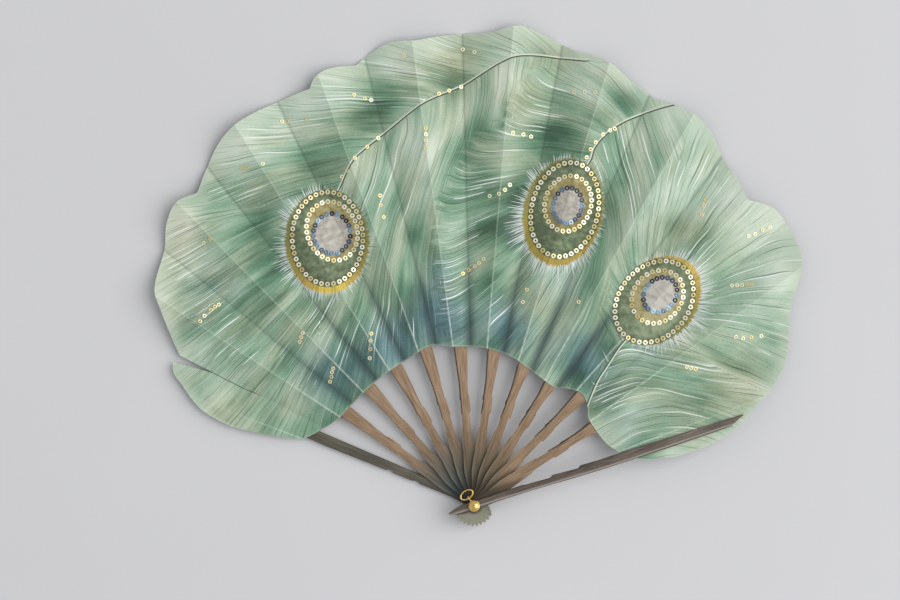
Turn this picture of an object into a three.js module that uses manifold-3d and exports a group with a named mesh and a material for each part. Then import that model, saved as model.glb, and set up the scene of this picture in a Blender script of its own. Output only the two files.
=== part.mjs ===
// A folding fan, lying open and face up: carved wooden sticks turn on one rivet and carry a pleated cloth leaf.
// Millimetres. The origin is on the rivet's axis, at the flat underside of its rear head. +Z is the fan's face
// and +Y points up the middle of the leaf. Angles are in degrees, counterclockwise from +X.
import * as THREE from 'three';
import { mergeVertices } from 'three/addons/utils/BufferGeometryUtils.js';
import Module from 'manifold-3d';

const wasm = await Module();
wasm.setup();

// Spread of the open fan. Stick 0 is the rear guard, the last one is the front guard.
const STICK_COUNT = 10;
const REAR_RIDGE = 159.05;
const PITCH = 12.29;
const FRONT_PITCH = 15.5;
const RIDGE_LEAD = 2.65;

// Thicknesses and the gaps between layers, along the rivet.
const RUNNING_GAP = 0.25;
const GUARD_T = 1.8;
const STICK_T = 0.75;
const RIB_T = 0.4;
const GLUE_GAP = 0.1;
const LEAF_T = 0.22;

// Pleats: rise of a pleat's face for each millimetre across it, and the slit left along each fold.
const PLEAT_SLOPE = 0.24;
const FOLD_GAP = 0.3;

// Half widths of an inner stick to its left and right at distances from the rivet: a narrow neck, a swelling and
// the carved steps.
const STICK_EDGE = [
  [-5, 3.3, 3.3], [0, 3.5, 3.5], [6, 3.1, 3.1], [11, 2.8, 2.8], [16, 3.5, 3.3], [21, 4.2, 3.7], [28, 4.1, 3.6],
  [34.4, 3.7, 3.2], [35.6, 4, 3.2], [40.6, 3.8, 3], [41.8, 3.7, 2.3], [47.4, 3.4, 2.1], [48.6, 2.8, 2.1],
  [56, 2.6, 2.1], [57.2, 3.2, 2.2], [58.6, 3.1, 3.1], [65, 2.8, 3], [66.2, 3.3, 2.9], [67.6, 3.3, 2.9],
  [68.8, 3.1, 2.3], [76, 3, 2.6], [82, 3.3, 3.2],
];
const STICK_TAIL = [[-13, 2.5, 1.9], [-11, 3, -0.3], [-8.5, 3.3, -2.7]];
const BLADE_TOP_HALF = 4.1;
const SHOULDER = 6;
const RIB_HALF = 2.4;
const RIB_TIP_HALF = 1.75;
const RIB_MARGIN = 12;
const SEAT_CLEARANCE = 1;
const SEAT_STEP = 1;
const TWIST_START = 45;
const TWIST_STEPS = 5;

// Half widths of the guards in the same way, with the bites carved into their left edges, and the slanted cut across
// their far ends. The front guard's tail is a point, the rear guard's a tooth like the sticks' own.
const FRONT_GUARD_EDGE = [
  [-16.3, 0.4, 0.4], [-12, 1.9, 1.9], [-7, 2.9, 2.8], [0, 3.1, 2.9], [6, 2.7, 2.4], [12, 2.6, 1.9], [20, 3.1, 1.8],
  [32.6, 3.1, 1.9], [33.6, 2.6, 1.9], [40, 2.5, 2], [48.6, 2, 2.2], [50.4, 2.1, 2.2], [51.6, 3.3, 2.3], [58, 2.9, 2.5],
  [67, 2.4, 2.7], [68.6, 2.5, 2.7], [69.8, 3.7, 2.7], [82, 3.3, 2.9], [95, 3.5, 2.9], [124, 3.4, 2.7], [155, 3.1, 2.2],
];
const REAR_GUARD_EDGE = [
  [-12.6, 2.2, -1.4], [-11.2, 2.9, 0.6], [-9, 3.1, 2.7], [0, 3.1, 3.1], [8, 2.1, 3.3], [15, 1.5, 3.5], [24, 1.6, 3.7],
  [36.2, 2, 3.7], [37.2, 1.2, 3.7], [39.6, 1.2, 3.7], [40.8, 2, 3.7], [53.8, 2.3, 3.6], [54.8, 1.5, 3.6],
  [57.4, 1.5, 3.6], [58.6, 2.4, 3.6], [70, 2.7, 3.5], [85, 3.3, 3.3], [100, 3.8, 3.2], [124, 3.6, 3.2], [155, 3.1, 2.8],
];
const GUARD_TIP = 175;
const GUARD_TIP_LEFT = 2.8;
const GUARD_TIP_RIGHT = 1.8;
const GUARD_TIP_SLANT = 9;
const GUARD_BEVEL = 0.5;

// Edges of the leaf, as [fold, radius]: fold 0 is the rear guard's own fold, 1 the first stick's, and so on.
// Each list of the outer edge is one painted feather tip, and the lists meet in a nick.
const OUTER_EDGE = [
  [[-0.256, 158], [-0.23, 166], [-0.159, 178], [0.004, 190], [0.248, 203], [0.5, 207]],
  [[0.5, 205], [0.9, 229.4], [1.06, 238.7], [1.51, 249.2], [1.753, 258.5], [1.997, 262.9], [2.241, 258.5]],
  [[2.241, 258.5], [2.485, 266.6], [2.77, 274.7], [3.055, 278.4], [3.583, 277.8], [3.868, 277.1]],
  [[3.868, 277.1], [3.949, 282.1], [4.112, 284.6], [4.397, 282.1]],
  [[4.397, 282.1], [4.519, 285.8], [4.763, 290.8], [5.047, 289.5]],
  [[5.047, 289.5], [5.454, 292], [5.78, 292.6], [6.048, 297.6], [6.268, 294.5], [6.634, 288.3],
    [7, 285.8], [7.244, 280.2], [7.57, 275.3]],
  [[7.57, 275.3], [7.976, 277.1], [8.261, 272.8], [8.505, 264.7], [8.79, 258.5], [9.017, 253]],
  [[9.017, 253], [9.196, 258.5], [9.359, 261], [9.684, 257.9], [9.969, 251.1], [10.265, 230.6], [10.523, 220.1],
    [10.716, 212], [10.909, 199.6], [11.089, 184.1], [11.334, 167.4], [11.496, 148.8], [11.553, 127]],
];
const INNER_EDGE = [
  [[-0.256, 158], [-0.23, 145], [-0.159, 130], [-0.037, 117], [0.085, 111.6], [0.655, 102.3], [1.06, 99.2],
    [1.956, 97.7], [3.583, 99.2], [4.397, 102.3], [4.966, 99.2], [5.942, 97.7], [6.837, 94.6],
    [7.325, 91.5], [8.383, 88.4], [8.79, 93], [9.196, 96.1], [9.603, 93], [9.847, 89.3], [10.2, 88.4],
    [10.716, 90.5], [11.05, 96.1], [11.21, 99.2], [11.456, 111.6], [11.553, 127]],
];
const OUTER_STEPS = 8;
const INNER_STEPS = 4;

// The leaf is torn along the first fold, from this radius out, and gapes this wide at the edge.
const TEAR_START = 164;
const TEAR_WIDTH = 3;

// Rivet, with its flat rear head and domed cap.
const PIN_R = 1.5;
const BORE_CLEARANCE = 0.25;
const REAR_HEAD_R = 3.4;
const REAR_HEAD_T = 0.9;
const DOME_R = 3.1;
const DOME_RIM = 0.5;
const DOME_H = 2.4;
const DOME_BORE_DEPTH = 1.3;
const ROUND_SIDES = 24;

// Swivel collar with its eye, and the ring that hangs in the eye.
const COLLAR_R = 3.5;
const COLLAR_T = 0.7;
const EYE_DIRECTION = 123;
const EYE_DISTANCE = 5.9;
const EYE_WALL = 0.7;
const EYE_PLATE_T = 0.9;
const EYE_CLEARANCE = 0.3;
const WIRE_R = 0.5;
const RING_LENGTH = 9.3;
const RING_WIDTH = 6;
const RING_STEPS = 28;
const WIRE_SIDES = 8;

const WOOD = new THREE.MeshStandardMaterial({ color: 0x8f7357, roughness: 0.62, metalness: 0 });
const DARK_WOOD = new THREE.MeshStandardMaterial({ color: 0x544a44, roughness: 0.55, metalness: 0 });
const CLOTH = new THREE.MeshStandardMaterial({ color: 0x8fb3a0, roughness: 0.85, metalness: 0 });
const BRASS = new THREE.MeshStandardMaterial({ color: 0xd2a94f, roughness: 0.3, metalness: 1 });

const LAST = STICK_COUNT + 1;
const radians = THREE.MathUtils.degToRad;
const sine = (degrees) => Math.sin(radians(degrees));
const cosine = (degrees) => Math.cos(radians(degrees));
const label = (number) => String(number).padStart(2, '0');

// Directions of the folds and sticks.
const opening = (k) => (k === STICK_COUNT ? FRONT_PITCH : PITCH);
const foldDirection = (fold) => {
  const full = Math.min(fold, STICK_COUNT);
  const last = THREE.MathUtils.clamp(fold - STICK_COUNT, 0, 1);
  const past = Math.max(fold - LAST, 0);
  return REAR_RIDGE - (full + past) * PITCH - last * FRONT_PITCH;
};
const stickDirection = (k) => foldDirection(k) - RIDGE_LEAD;
const valleyFold = (k) => k + PITCH / 2 / opening(k);
const VALLEY_ANGLE = RIDGE_LEAD - PITCH / 2;
const RIDGE_RISE = PLEAT_SLOPE * sine(PITCH / 2);

// Heights: each layer lies on the one to its left, so the fan closes with no piece crossing another.
const LAYER = Math.max(STICK_T, RIB_T + GLUE_GAP + LEAF_T) + RUNNING_GAP;
const REAR_LEVEL = REAR_HEAD_T + RUNNING_GAP;
const FIRST_LEVEL = REAR_LEVEL + GUARD_T + GLUE_GAP + LEAF_T + RUNNING_GAP;
const FRONT_GUARD_BASE = LEAF_T + GLUE_GAP;
const stickLevel = (k) => (k === 0 ? REAR_LEVEL : FIRST_LEVEL + (k - 1) * LAYER);
const leafSeat = (k) => {
  if (k === 0) return GUARD_T + GLUE_GAP;
  return k === LAST ? 0 : RIB_T + GLUE_GAP;
};
const COLLAR_LEVEL = stickLevel(LAST) + FRONT_GUARD_BASE + GUARD_T + RUNNING_GAP;
const DOME_LEVEL = COLLAR_LEVEL + COLLAR_T + RUNNING_GAP;

// Radius of the leaf's edge at a fold position: a smooth curve through the points of the list that holds it.
function edgeRadius(lists, fold) {
  const points = lists.find((list) => fold <= list.at(-1)[0]) ?? lists.at(-1);
  const next = THREE.MathUtils.clamp(points.findIndex((point) => fold <= point[0]), 1, points.length - 1);
  const [x0, y0] = points[next - 1];
  const [x1, y1] = points[next];
  const slopeAt = (i) => {
    const before = points[Math.max(i - 1, 0)];
    const after = points[Math.min(i + 1, points.length - 1)];
    return (after[1] - before[1]) / (after[0] - before[0]);
  };
  const width = x1 - x0;
  const t = THREE.MathUtils.clamp((fold - x0) / width, 0, 1);
  const smooth = t * t * (3 - 2 * t);
  const startPull = t * (1 - t) * (1 - t) * width * slopeAt(next - 1);
  const endPull = t * t * (t - 1) * width * slopeAt(next);
  return y0 + (y1 - y0) * smooth + startPull + endPull;
}
const outerRadius = (fold) => edgeRadius(OUTER_EDGE, fold);
const innerRadius = (fold) => edgeRadius(INNER_EDGE, fold);
const LEAF_INNER_MIN = Math.min(...INNER_EDGE[0].map((point) => point[1]));
const TWIST_END = LEAF_INNER_MIN - SEAT_CLEARANCE - SEAT_STEP - SHOULDER / 2;
const twist = (r) => THREE.MathUtils.smoothstep(r, TWIST_START, TWIST_END);

function toSolid(geometry) {
  const bare = new THREE.BufferGeometry().setAttribute('position', geometry.getAttribute('position').clone());
  if (geometry.index) bare.setIndex(geometry.index.clone());
  const merged = mergeVertices(bare, 1e-4);
  const triVerts = new Uint32Array(merged.index.array);
  return new wasm.Manifold(new wasm.Mesh({ numProp: 3, vertProperties: merged.attributes.position.array, triVerts }));
}

function toGeometry(solid) {
  const { vertProperties, triVerts } = solid.getMesh();
  const geometry = new THREE.BufferGeometry();
  geometry.setAttribute('position', new THREE.BufferAttribute(vertProperties, 3));
  geometry.setIndex(new THREE.BufferAttribute(triVerts, 1));
  geometry.computeVertexNormals();
  return geometry;
}

function mesh(name, geometry, material) {
  const made = new THREE.Mesh(geometry, material);
  made.name = name;
  return made;
}

// A turned piece about +Z from a profile of [radius, height] points that starts and ends on the axis.
function turned(profile) {
  const points = profile.map(([r, z]) => new THREE.Vector2(r, z));
  return new THREE.LatheGeometry(points, ROUND_SIDES).rotateX(Math.PI / 2);
}

// A closed bar along +X through rings of points, each ring listed from the left underside round to the left top.
function bar(rings) {
  const size = rings[0].length;
  const triangles = [];
  const end = (rings.length - 1) * size;
  for (let j = 1; j < size - 1; j += 1) {
    triangles.push(0, j, j + 1, end, end + j + 1, end + j);
  }
  for (let k = 0; k < rings.length - 1; k += 1) {
    for (let j = 0; j < size; j += 1) {
      const a = k * size + j;
      const b = k * size + ((j + 1) % size);
      triangles.push(a, a + size, b + size, a, b + size, b);
    }
  }
  const geometry = new THREE.BufferGeometry();
  geometry.setAttribute('position', new THREE.Float32BufferAttribute(rings.flat(2), 3));
  geometry.setIndex(triangles);
  return geometry;
}

function drilled(geometry) {
  const depth = 4 * GUARD_T;
  const drill = new THREE.CylinderGeometry(PIN_R + BORE_CLEARANCE, PIN_R + BORE_CLEARANCE, depth, ROUND_SIDES);
  return toGeometry(toSolid(geometry).subtract(toSolid(drill.rotateX(Math.PI / 2))));
}

// Height of a pleat's face above its valley fold, in the frame of its stick.
const pleatHeight = (x, y) => PLEAT_SLOPE * (y * cosine(VALLEY_ANGLE) - x * sine(VALLEY_ANGLE));

// An inner stick: a flat carved blade that twists into the slope of its pleat and thins to a rib under the leaf.
function stickGeometry(k) {
  const middle = k + RIDGE_LEAD / opening(k);
  const across = [k, middle, 2 * middle - k];
  const seat = Math.min(...across.map(innerRadius)) - SEAT_CLEARANCE;
  const ribEnd = outerRadius(middle) - RIB_MARGIN;
  const stations = [
    ...STICK_TAIL.map(([r, left, right]) => [r, left, right, STICK_T]),
    ...STICK_EDGE.map(([r, left, right]) => [r, left, -right, STICK_T]),
    [seat - SEAT_STEP, BLADE_TOP_HALF, -BLADE_TOP_HALF, STICK_T],
    [seat, BLADE_TOP_HALF, -BLADE_TOP_HALF, RIB_T],
    [seat + SHOULDER, RIB_HALF, -RIB_HALF, RIB_T],
    [ribEnd, RIB_TIP_HALF, -RIB_TIP_HALF, RIB_T],
  ];
  const rings = [];
  stations.forEach(([r, left, right, top], i) => {
    const before = stations[i - 1];
    const twisting = before && before[0] >= TWIST_START - RIB_HALF && before[0] < TWIST_END;
    const steps = twisting && r - before[0] > TWIST_STEPS ? Math.ceil((r - before[0]) / TWIST_STEPS) : 1;
    for (let s = 1; s <= steps; s += 1) {
      const mix = (j, now) => (before ? THREE.MathUtils.lerp(before[j], now, s / steps) : now);
      const x = mix(0, r);
      const yLeft = mix(1, left);
      const yRight = mix(2, right);
      const thick = mix(3, top);
      const lift = (y) => twist(x) * pleatHeight(x, y);
      rings.push([
        [x, yLeft, lift(yLeft)], [x, yRight, lift(yRight)],
        [x, yRight, lift(yRight) + thick], [x, yLeft, lift(yLeft) + thick],
      ]);
    }
  });
  return drilled(bar(rings));
}

// A guard: a stout straight bar with bevelled top edges, which rises by the given slope beyond the twist.
function guardGeometry(edge, base, slope) {
  const stations = [
    ...edge.map(([r, left, right]) => [r, left, r, -right]),
    [GUARD_TIP, GUARD_TIP_LEFT, GUARD_TIP - GUARD_TIP_SLANT, -GUARD_TIP_RIGHT],
  ];
  const rings = stations.map(([xl, yl, xr, yr]) => {
    const bevel = Math.min(GUARD_BEVEL, (yl - yr) / 4);
    const zl = base + slope * xl * twist(xl);
    const zr = base + slope * xr * twist(xr);
    return [
      [xl, yl, zl], [xr, yr, zr], [xr, yr, zr + GUARD_T - bevel], [xr, yr + bevel, zr + GUARD_T],
      [xl, yl - bevel, zl + GUARD_T], [xl, yl, zl + GUARD_T - bevel],
    ];
  });
  return drilled(bar(rings));
}

// A panel of the leaf between two fold positions, in the frame of stick k. lift gives its underside's height.
function panelGeometry(k, from, to, lift, sideGap, tear) {
  const turn = stickDirection(k);
  const place = (fold, radius, gap) => {
    const angle = foldDirection(fold) - turn;
    return new THREE.Vector2(
      radius * cosine(angle) + gap * sine(angle),
      radius * sine(angle) - gap * cosine(angle),
    );
  };
  const edge = (radiusAt, start, finish, steps) => Array.from({ length: steps + 1 }, (_, i) => {
    const fold = THREE.MathUtils.lerp(start, finish, i / steps);
    const gap = (fold === from ? sideGap : 0) - (fold === to ? sideGap : 0);
    return place(fold, radiusAt(fold), gap);
  });
  const outer = edge(outerRadius, from, to, OUTER_STEPS);
  const inner = edge(innerRadius, to, from, INNER_STEPS);
  if (tear) {
    outer[0] = place(from, outerRadius(from), TEAR_WIDTH);
    outer.unshift(place(from, TEAR_START, sideGap));
  }
  const outline = [...outer, ...inner].filter((p, i, all) => p.distanceTo(all.at(i - 1)) > FOLD_GAP / 2);
  const geometry = new THREE.ExtrudeGeometry(new THREE.Shape(outline), { depth: LEAF_T, bevelEnabled: false });
  const position = geometry.getAttribute('position');
  for (let i = 0; i < position.count; i += 1) {
    position.setZ(i, position.getZ(i) + lift(position.getX(i), position.getY(i)));
  }
  return toGeometry(toSolid(geometry));
}

// The pleat's face that is glued to stick k.
function gluedPanel(k) {
  const from = k === 0 ? OUTER_EDGE[0][0][0] : k;
  const to = k === LAST ? OUTER_EDGE.at(-1).at(-1)[0] : valleyFold(k);
  const lift = (x, y) => {
    if (k === 0) return leafSeat(k);
    return leafSeat(k) + (k === LAST ? RIDGE_RISE * x : pleatHeight(x, y));
  };
  return panelGeometry(k, from, to, lift, 0, false);
}

// The free face between stick k's valley fold and the next stick's ridge fold.
function freePanel(k) {
  const ridge = stickLevel(k + 1) + leafSeat(k + 1) - stickLevel(k);
  const across = opening(k) - PITCH / 2;
  const lift = (x, y) => {
    const share = (VALLEY_ANGLE - THREE.MathUtils.radToDeg(Math.atan2(y, x))) / across;
    return THREE.MathUtils.lerp(leafSeat(k), ridge + RIDGE_RISE * Math.hypot(x, y), share);
  };
  return panelGeometry(k, valleyFold(k), k + 1, lift, FOLD_GAP, k === 0);
}

function rivetPin() {
  const top = DOME_LEVEL + DOME_BORE_DEPTH - BORE_CLEARANCE;
  return turned([
    [0, 0], [REAR_HEAD_R, 0], [REAR_HEAD_R, REAR_HEAD_T], [PIN_R, REAR_HEAD_T], [PIN_R, top], [0, top],
  ]);
}

function rivetDome() {
  const bore = PIN_R + BORE_CLEARANCE;
  const crown = new THREE.EllipseCurve(0, DOME_RIM, DOME_R, DOME_H - DOME_RIM, 0, Math.PI / 2);
  const arc = crown.getPoints(6).slice(0, -1).map((p) => [p.x, p.y]);
  return turned([[0, DOME_BORE_DEPTH], [bore, DOME_BORE_DEPTH], [bore, 0], [DOME_R, 0], ...arc, [0, DOME_H]]);
}

// The collar is a washer with an upright eye plate, which points along +X here.
const EYE_BORE = WIRE_R + EYE_CLEARANCE;
const EYE_HEIGHT = EYE_BORE + EYE_WALL;
function swivelCollar() {
  const bore = PIN_R + BORE_CLEARANCE;
  const washer = turned([[bore, 0], [COLLAR_R, 0], [COLLAR_R, COLLAR_T], [bore, COLLAR_T], [bore, 0]]);
  const root = (bore + COLLAR_R) / 2;
  const plate = new THREE.Shape();
  plate.moveTo(root, 0);
  plate.lineTo(EYE_DISTANCE, 0);
  plate.absarc(EYE_DISTANCE, EYE_HEIGHT, EYE_HEIGHT, -Math.PI / 2, Math.PI, false);
  plate.lineTo(EYE_DISTANCE - EYE_HEIGHT, COLLAR_T);
  plate.lineTo(root, COLLAR_T);
  const hole = new THREE.Path();
  hole.absarc(EYE_DISTANCE, EYE_HEIGHT, EYE_BORE, 0, 2 * Math.PI, true);
  plate.holes.push(hole);
  const eye = new THREE.ExtrudeGeometry(plate, { depth: EYE_PLATE_T, bevelEnabled: false, curveSegments: 10 });
  eye.rotateX(Math.PI / 2).translate(0, EYE_PLATE_T / 2, 0);
  return toGeometry(toSolid(washer).add(toSolid(eye)));
}

// The ring lies flat, with the middle of its near side in the eye.
function hangingRing() {
  const long = RING_LENGTH / 2 - WIRE_R;
  const short = RING_WIDTH / 2 - WIRE_R;
  const points = Array.from({ length: RING_STEPS }, (_, i) => {
    const a = (2 * Math.PI * i) / RING_STEPS;
    return new THREE.Vector3(EYE_DISTANCE + short - short * Math.cos(a), long * Math.sin(a), EYE_HEIGHT);
  });
  const loop = new THREE.CatmullRomCurve3(points, true);
  return new THREE.TubeGeometry(loop, RING_STEPS, WIRE_R, WIRE_SIDES, true);
}

// Assembly: one turned and raised group for each stick, with what is glued to it.
const fan = new THREE.Group();
for (let k = 0; k <= LAST; k += 1) {
  const layer = new THREE.Group();
  layer.rotation.z = radians(stickDirection(k));
  layer.position.z = stickLevel(k);
  if (k === 0) layer.add(mesh('rear_guard', guardGeometry(REAR_GUARD_EDGE, 0, 0), DARK_WOOD));
  else if (k < LAST) layer.add(mesh(`stick_${label(k)}`, stickGeometry(k), WOOD));
  else layer.add(mesh('front_guard', guardGeometry(FRONT_GUARD_EDGE, FRONT_GUARD_BASE, RIDGE_RISE), DARK_WOOD));
  layer.add(mesh(`leaf_panel_${label(k)}`, gluedPanel(k), CLOTH));
  if (k < LAST) layer.add(mesh(`leaf_fold_${label(k)}`, freePanel(k), CLOTH));
  fan.add(layer);
}
fan.add(mesh('rivet_pin', rivetPin(), BRASS));
const dome = mesh('rivet_dome', rivetDome(), BRASS);
dome.position.z = DOME_LEVEL;
fan.add(dome);
const hanger = new THREE.Group();
hanger.rotation.z = radians(EYE_DIRECTION);
hanger.position.z = COLLAR_LEVEL;
hanger.add(mesh('swivel_collar', swivelCollar(), BRASS), mesh('hanging_ring', hangingRing(), BRASS));
fan.add(hanger);

export default fan;
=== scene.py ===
# A folding fan, lying open and face up: carved sticks on one rivet, and a pleated cloth leaf that is painted as
# three peacock feathers and sewn with sequins. Metres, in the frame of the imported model: the rivet's axis is Z.
import functools
import math

import bpy
import numpy as np
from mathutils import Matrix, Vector


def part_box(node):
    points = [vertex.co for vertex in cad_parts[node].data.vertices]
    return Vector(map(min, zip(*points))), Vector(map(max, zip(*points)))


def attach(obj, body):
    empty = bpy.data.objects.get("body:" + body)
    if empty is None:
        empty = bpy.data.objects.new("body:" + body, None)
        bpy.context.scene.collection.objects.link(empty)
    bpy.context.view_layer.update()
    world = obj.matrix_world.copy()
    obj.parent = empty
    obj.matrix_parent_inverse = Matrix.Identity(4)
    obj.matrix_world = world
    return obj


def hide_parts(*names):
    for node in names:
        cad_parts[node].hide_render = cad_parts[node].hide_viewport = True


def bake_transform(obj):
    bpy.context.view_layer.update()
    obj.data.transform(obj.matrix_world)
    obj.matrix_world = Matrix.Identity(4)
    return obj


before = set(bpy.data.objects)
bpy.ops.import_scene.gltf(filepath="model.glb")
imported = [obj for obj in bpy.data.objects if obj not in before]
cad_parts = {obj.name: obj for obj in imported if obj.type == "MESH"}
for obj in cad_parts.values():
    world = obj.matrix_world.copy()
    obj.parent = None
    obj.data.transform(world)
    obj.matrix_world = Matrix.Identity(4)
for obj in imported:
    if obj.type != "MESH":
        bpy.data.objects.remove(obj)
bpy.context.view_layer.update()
MM = 0.001

# ---- Table and studio ----
# The fan lies on a table covered with pale grey paper, under one large soft lamp at its right and an even
# white room. It touches the table with the rivet's rear head and with the far ends of the middle folds, so in the
# fan's own frame the table slopes a little. The camera looks straight down.
TABLE_SLOPE = (0.0187, 0.0279)
TABLE_SIZE = 5.0
CAMERA_AIM = (-14.9 * MM, 127.1 * MM)
CAMERA_HEIGHT = 1558 * MM
CAMERA_LENS = 100
CAMERA_SENSOR = 36
LAMP_PLACE = Vector((3.1, 0.45, 3.0))
LAMP_SIZE = 4.5
LAMP_POWER = 165
ROOM_LIGHT = 0.55


def linear(code):
    """A colour written as sRGB hex, as linear RGBA."""
    shares = [int(code[i : i + 2], 16) / 255 for i in (1, 3, 5)]
    return (*[s / 12.92 if s <= 0.04045 else ((s + 0.055) / 1.055) ** 2.4 for s in shares], 1.0)


def add_node(tree, kind, inputs=(), out=0, **settings):
    """Adds a node with its inputs, by name or place, and its settings, and gives one of its outputs."""
    node = tree.nodes.new("ShaderNode" + kind)
    for name, value in settings.items():
        if name == "stops":
            while len(node.color_ramp.elements) < len(value):
                node.color_ramp.elements.new(1.0)
            for element, (place, colour) in zip(node.color_ramp.elements, value):
                element.position = place
                element.color = linear(colour)
        else:
            setattr(node, name, value)
    for name, value in inputs.items() if isinstance(inputs, dict) else enumerate(inputs):
        if isinstance(value, bpy.types.NodeSocket):
            tree.links.new(value, node.inputs[name])
        else:
            node.inputs[name].default_value = value
    return node.outputs[out] if node.outputs else node


# Settings that many nodes share.
SMOOTH = {"interpolation_type": "SMOOTHSTEP"}
RGBA = {"data_type": "RGBA"}
TIMES, PLUS, MINUS, TIMES_PLUS = [{"operation": name} for name in ("MULTIPLY", "ADD", "SUBTRACT", "MULTIPLY_ADD")]


def new_material(name):
    """An empty material, and add_node for its tree."""
    material = bpy.data.materials.new(name)
    material.use_nodes = True
    material.node_tree.nodes.clear()
    return material, functools.partial(add_node, material.node_tree)


def finish_material(node, skin):
    """Ends a material with its skin."""
    node("OutputMaterial", [node("BsdfPrincipled", skin)])


bpy.ops.mesh.primitive_plane_add(size=TABLE_SIZE)
table = bpy.context.object
table.name = "table"
for vertex in table.data.vertices:
    vertex.co.z = vertex.co.x * TABLE_SLOPE[0] + vertex.co.y * TABLE_SLOPE[1]

# Pale matt paper: even, with a hardly visible fibre cloud.
paper, node = new_material("pale_matt_paper")
place = node("TexCoord", out=3)
cloud = node("TexNoise", {"Vector": place, "Scale": 1 / (180 * MM), "Detail": 3.0})
tone = node("ValToRGB", [cloud], stops=[(0.3, "#d2d2d3"), (0.7, "#d4d4d5")])
finish_material(node, {"Base Color": tone, "Roughness": 0.92, "Specular IOR Level": 0.2})
table.data.materials.append(paper)

world = bpy.data.worlds.new("white_room")
bpy.context.scene.world = world
world.use_nodes = True
world.node_tree.nodes.clear()
room = add_node(world.node_tree, "Background", {"Color": linear("#fbfcff"), "Strength": ROOM_LIGHT})
add_node(world.node_tree, "OutputWorld", [room])

bpy.ops.object.light_add(type="AREA", location=LAMP_PLACE)
lamp = bpy.context.object
lamp.name = "soft_lamp"
lamp.data.size = LAMP_SIZE
lamp.data.energy = LAMP_POWER
lamp.rotation_euler = (Vector((*CAMERA_AIM, 0)) - LAMP_PLACE).to_track_quat("-Z", "Y").to_euler()

bpy.ops.object.camera_add(location=(*CAMERA_AIM, CAMERA_HEIGHT), rotation=(0, 0, 0))
camera = bpy.context.object
camera.data.lens = CAMERA_LENS
camera.data.sensor_width = CAMERA_SENSOR
bpy.context.scene.camera = camera
bpy.context.scene.view_settings.view_transform = "Standard"

# ---- Rivet pin ----
# A brass pin that goes through all the sticks. Its flat rear head is what the fan lies on.
PIN_R = 1.5 * MM
REAR_HEAD_R = 3.4 * MM
REAR_HEAD_T = 0.9 * MM
PIN_BEVEL = 0.18 * MM


def smooth_piece(piece, degrees):
    """Smooth shading with edges kept sharp above an angle."""
    bpy.ops.object.select_all(action="DESELECT")
    piece.select_set(True)
    bpy.context.view_layer.objects.active = piece
    bpy.ops.object.shade_smooth_by_angle(angle=math.radians(degrees))


def apply_modifier(piece, kind, **settings):
    """Adds a modifier and applies it, as by hand."""
    bpy.context.view_layer.objects.active = piece
    modifier = piece.modifiers.new(kind.lower(), kind)
    for name, value in settings.items():
        setattr(modifier, name, value)
    bpy.ops.object.modifier_apply(modifier=modifier.name)


def lay_values(mesh, name, values):
    """Gives each point of a mesh its number or its vector."""
    kind, field = ("FLOAT_VECTOR", "vector") if values.ndim == 2 else ("FLOAT", "value")
    mesh.attributes.new(name, kind, "POINT").data.foreach_set(field, values.ravel())


def select_faces(piece, wanted):
    """In edit mode, selects the faces for which wanted(centre, normal) holds."""
    bpy.ops.object.mode_set(mode="OBJECT")
    for face in piece.data.polygons:
        face.select = wanted(face.center, face.normal)
    bpy.ops.object.mode_set(mode="EDIT")


# Polished brass, a little worn: warm yellow with soft cloudy dulling.
brass, node = new_material("polished_brass")
place = node("TexCoord", out=3)
wear = node("TexNoise", {"Vector": place, "Scale": 1 / (1.6 * MM), "Detail": 4.0})
tone = node("ValToRGB", [wear], stops=[(0.3, "#d9b05a"), (0.6, "#f0d084")])
dull = node("MapRange", [wear, 0.3, 0.7, 0.32, 0.18])
finish_material(node, {"Base Color": tone, "Metallic": 1.0, "Roughness": dull})

pin_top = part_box("rivet_pin")[1].z
bpy.ops.mesh.primitive_cylinder_add(
    vertices=48, radius=REAR_HEAD_R, depth=REAR_HEAD_T, location=(0, 0, REAR_HEAD_T / 2)
)
pin = bpy.context.object
pin.name = "brass_pin"
bpy.ops.object.transform_apply(location=True)
bpy.ops.object.mode_set(mode="EDIT")
select_faces(pin, lambda centre, normal: normal.z > 0.9)
bpy.ops.mesh.inset(thickness=REAR_HEAD_R - PIN_R)
bpy.ops.mesh.extrude_region_move(TRANSFORM_OT_translate={"value": (0, 0, pin_top - REAR_HEAD_T)})
bpy.ops.object.mode_set(mode="OBJECT")
apply_modifier(pin, "BEVEL", width=PIN_BEVEL, segments=3, limit_method="ANGLE", angle_limit=math.radians(40))
smooth_piece(pin, 35)
pin.data.materials.append(brass)
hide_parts("rivet_pin")
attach(pin, "rear_guard")

# ---- Rear guard ----
# The lowest stick, thicker than the others, of dark stained hardwood with bites carved into its left edge. Its tail
# is a tooth below the rivet, and the leaf's first face is glued along it.
STICK_COUNT = 10
LAST = STICK_COUNT + 1
REAR_RIDGE = 159.05
PITCH = 12.29
FRONT_PITCH = 15.5
RIDGE_LEAD = 2.65
GUARD_WEAR = 0.22 * MM
CLEAR_OF_RIVET = 8 * MM
WORN_ANGLE = math.radians(35)
FLAT_ANGLE = math.radians(0.5)
MERGE_GAP = 0.002 * MM


def fold_angle(fold):
    """Direction of a fold in degrees: fold 0 is the rear guard's own, 1 the first stick's, and so on."""
    last = min(max(fold - STICK_COUNT, 0), 1)
    past = max(fold - LAST, 0)
    return REAR_RIDGE - (min(fold, STICK_COUNT) + past) * PITCH - last * FRONT_PITCH


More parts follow.
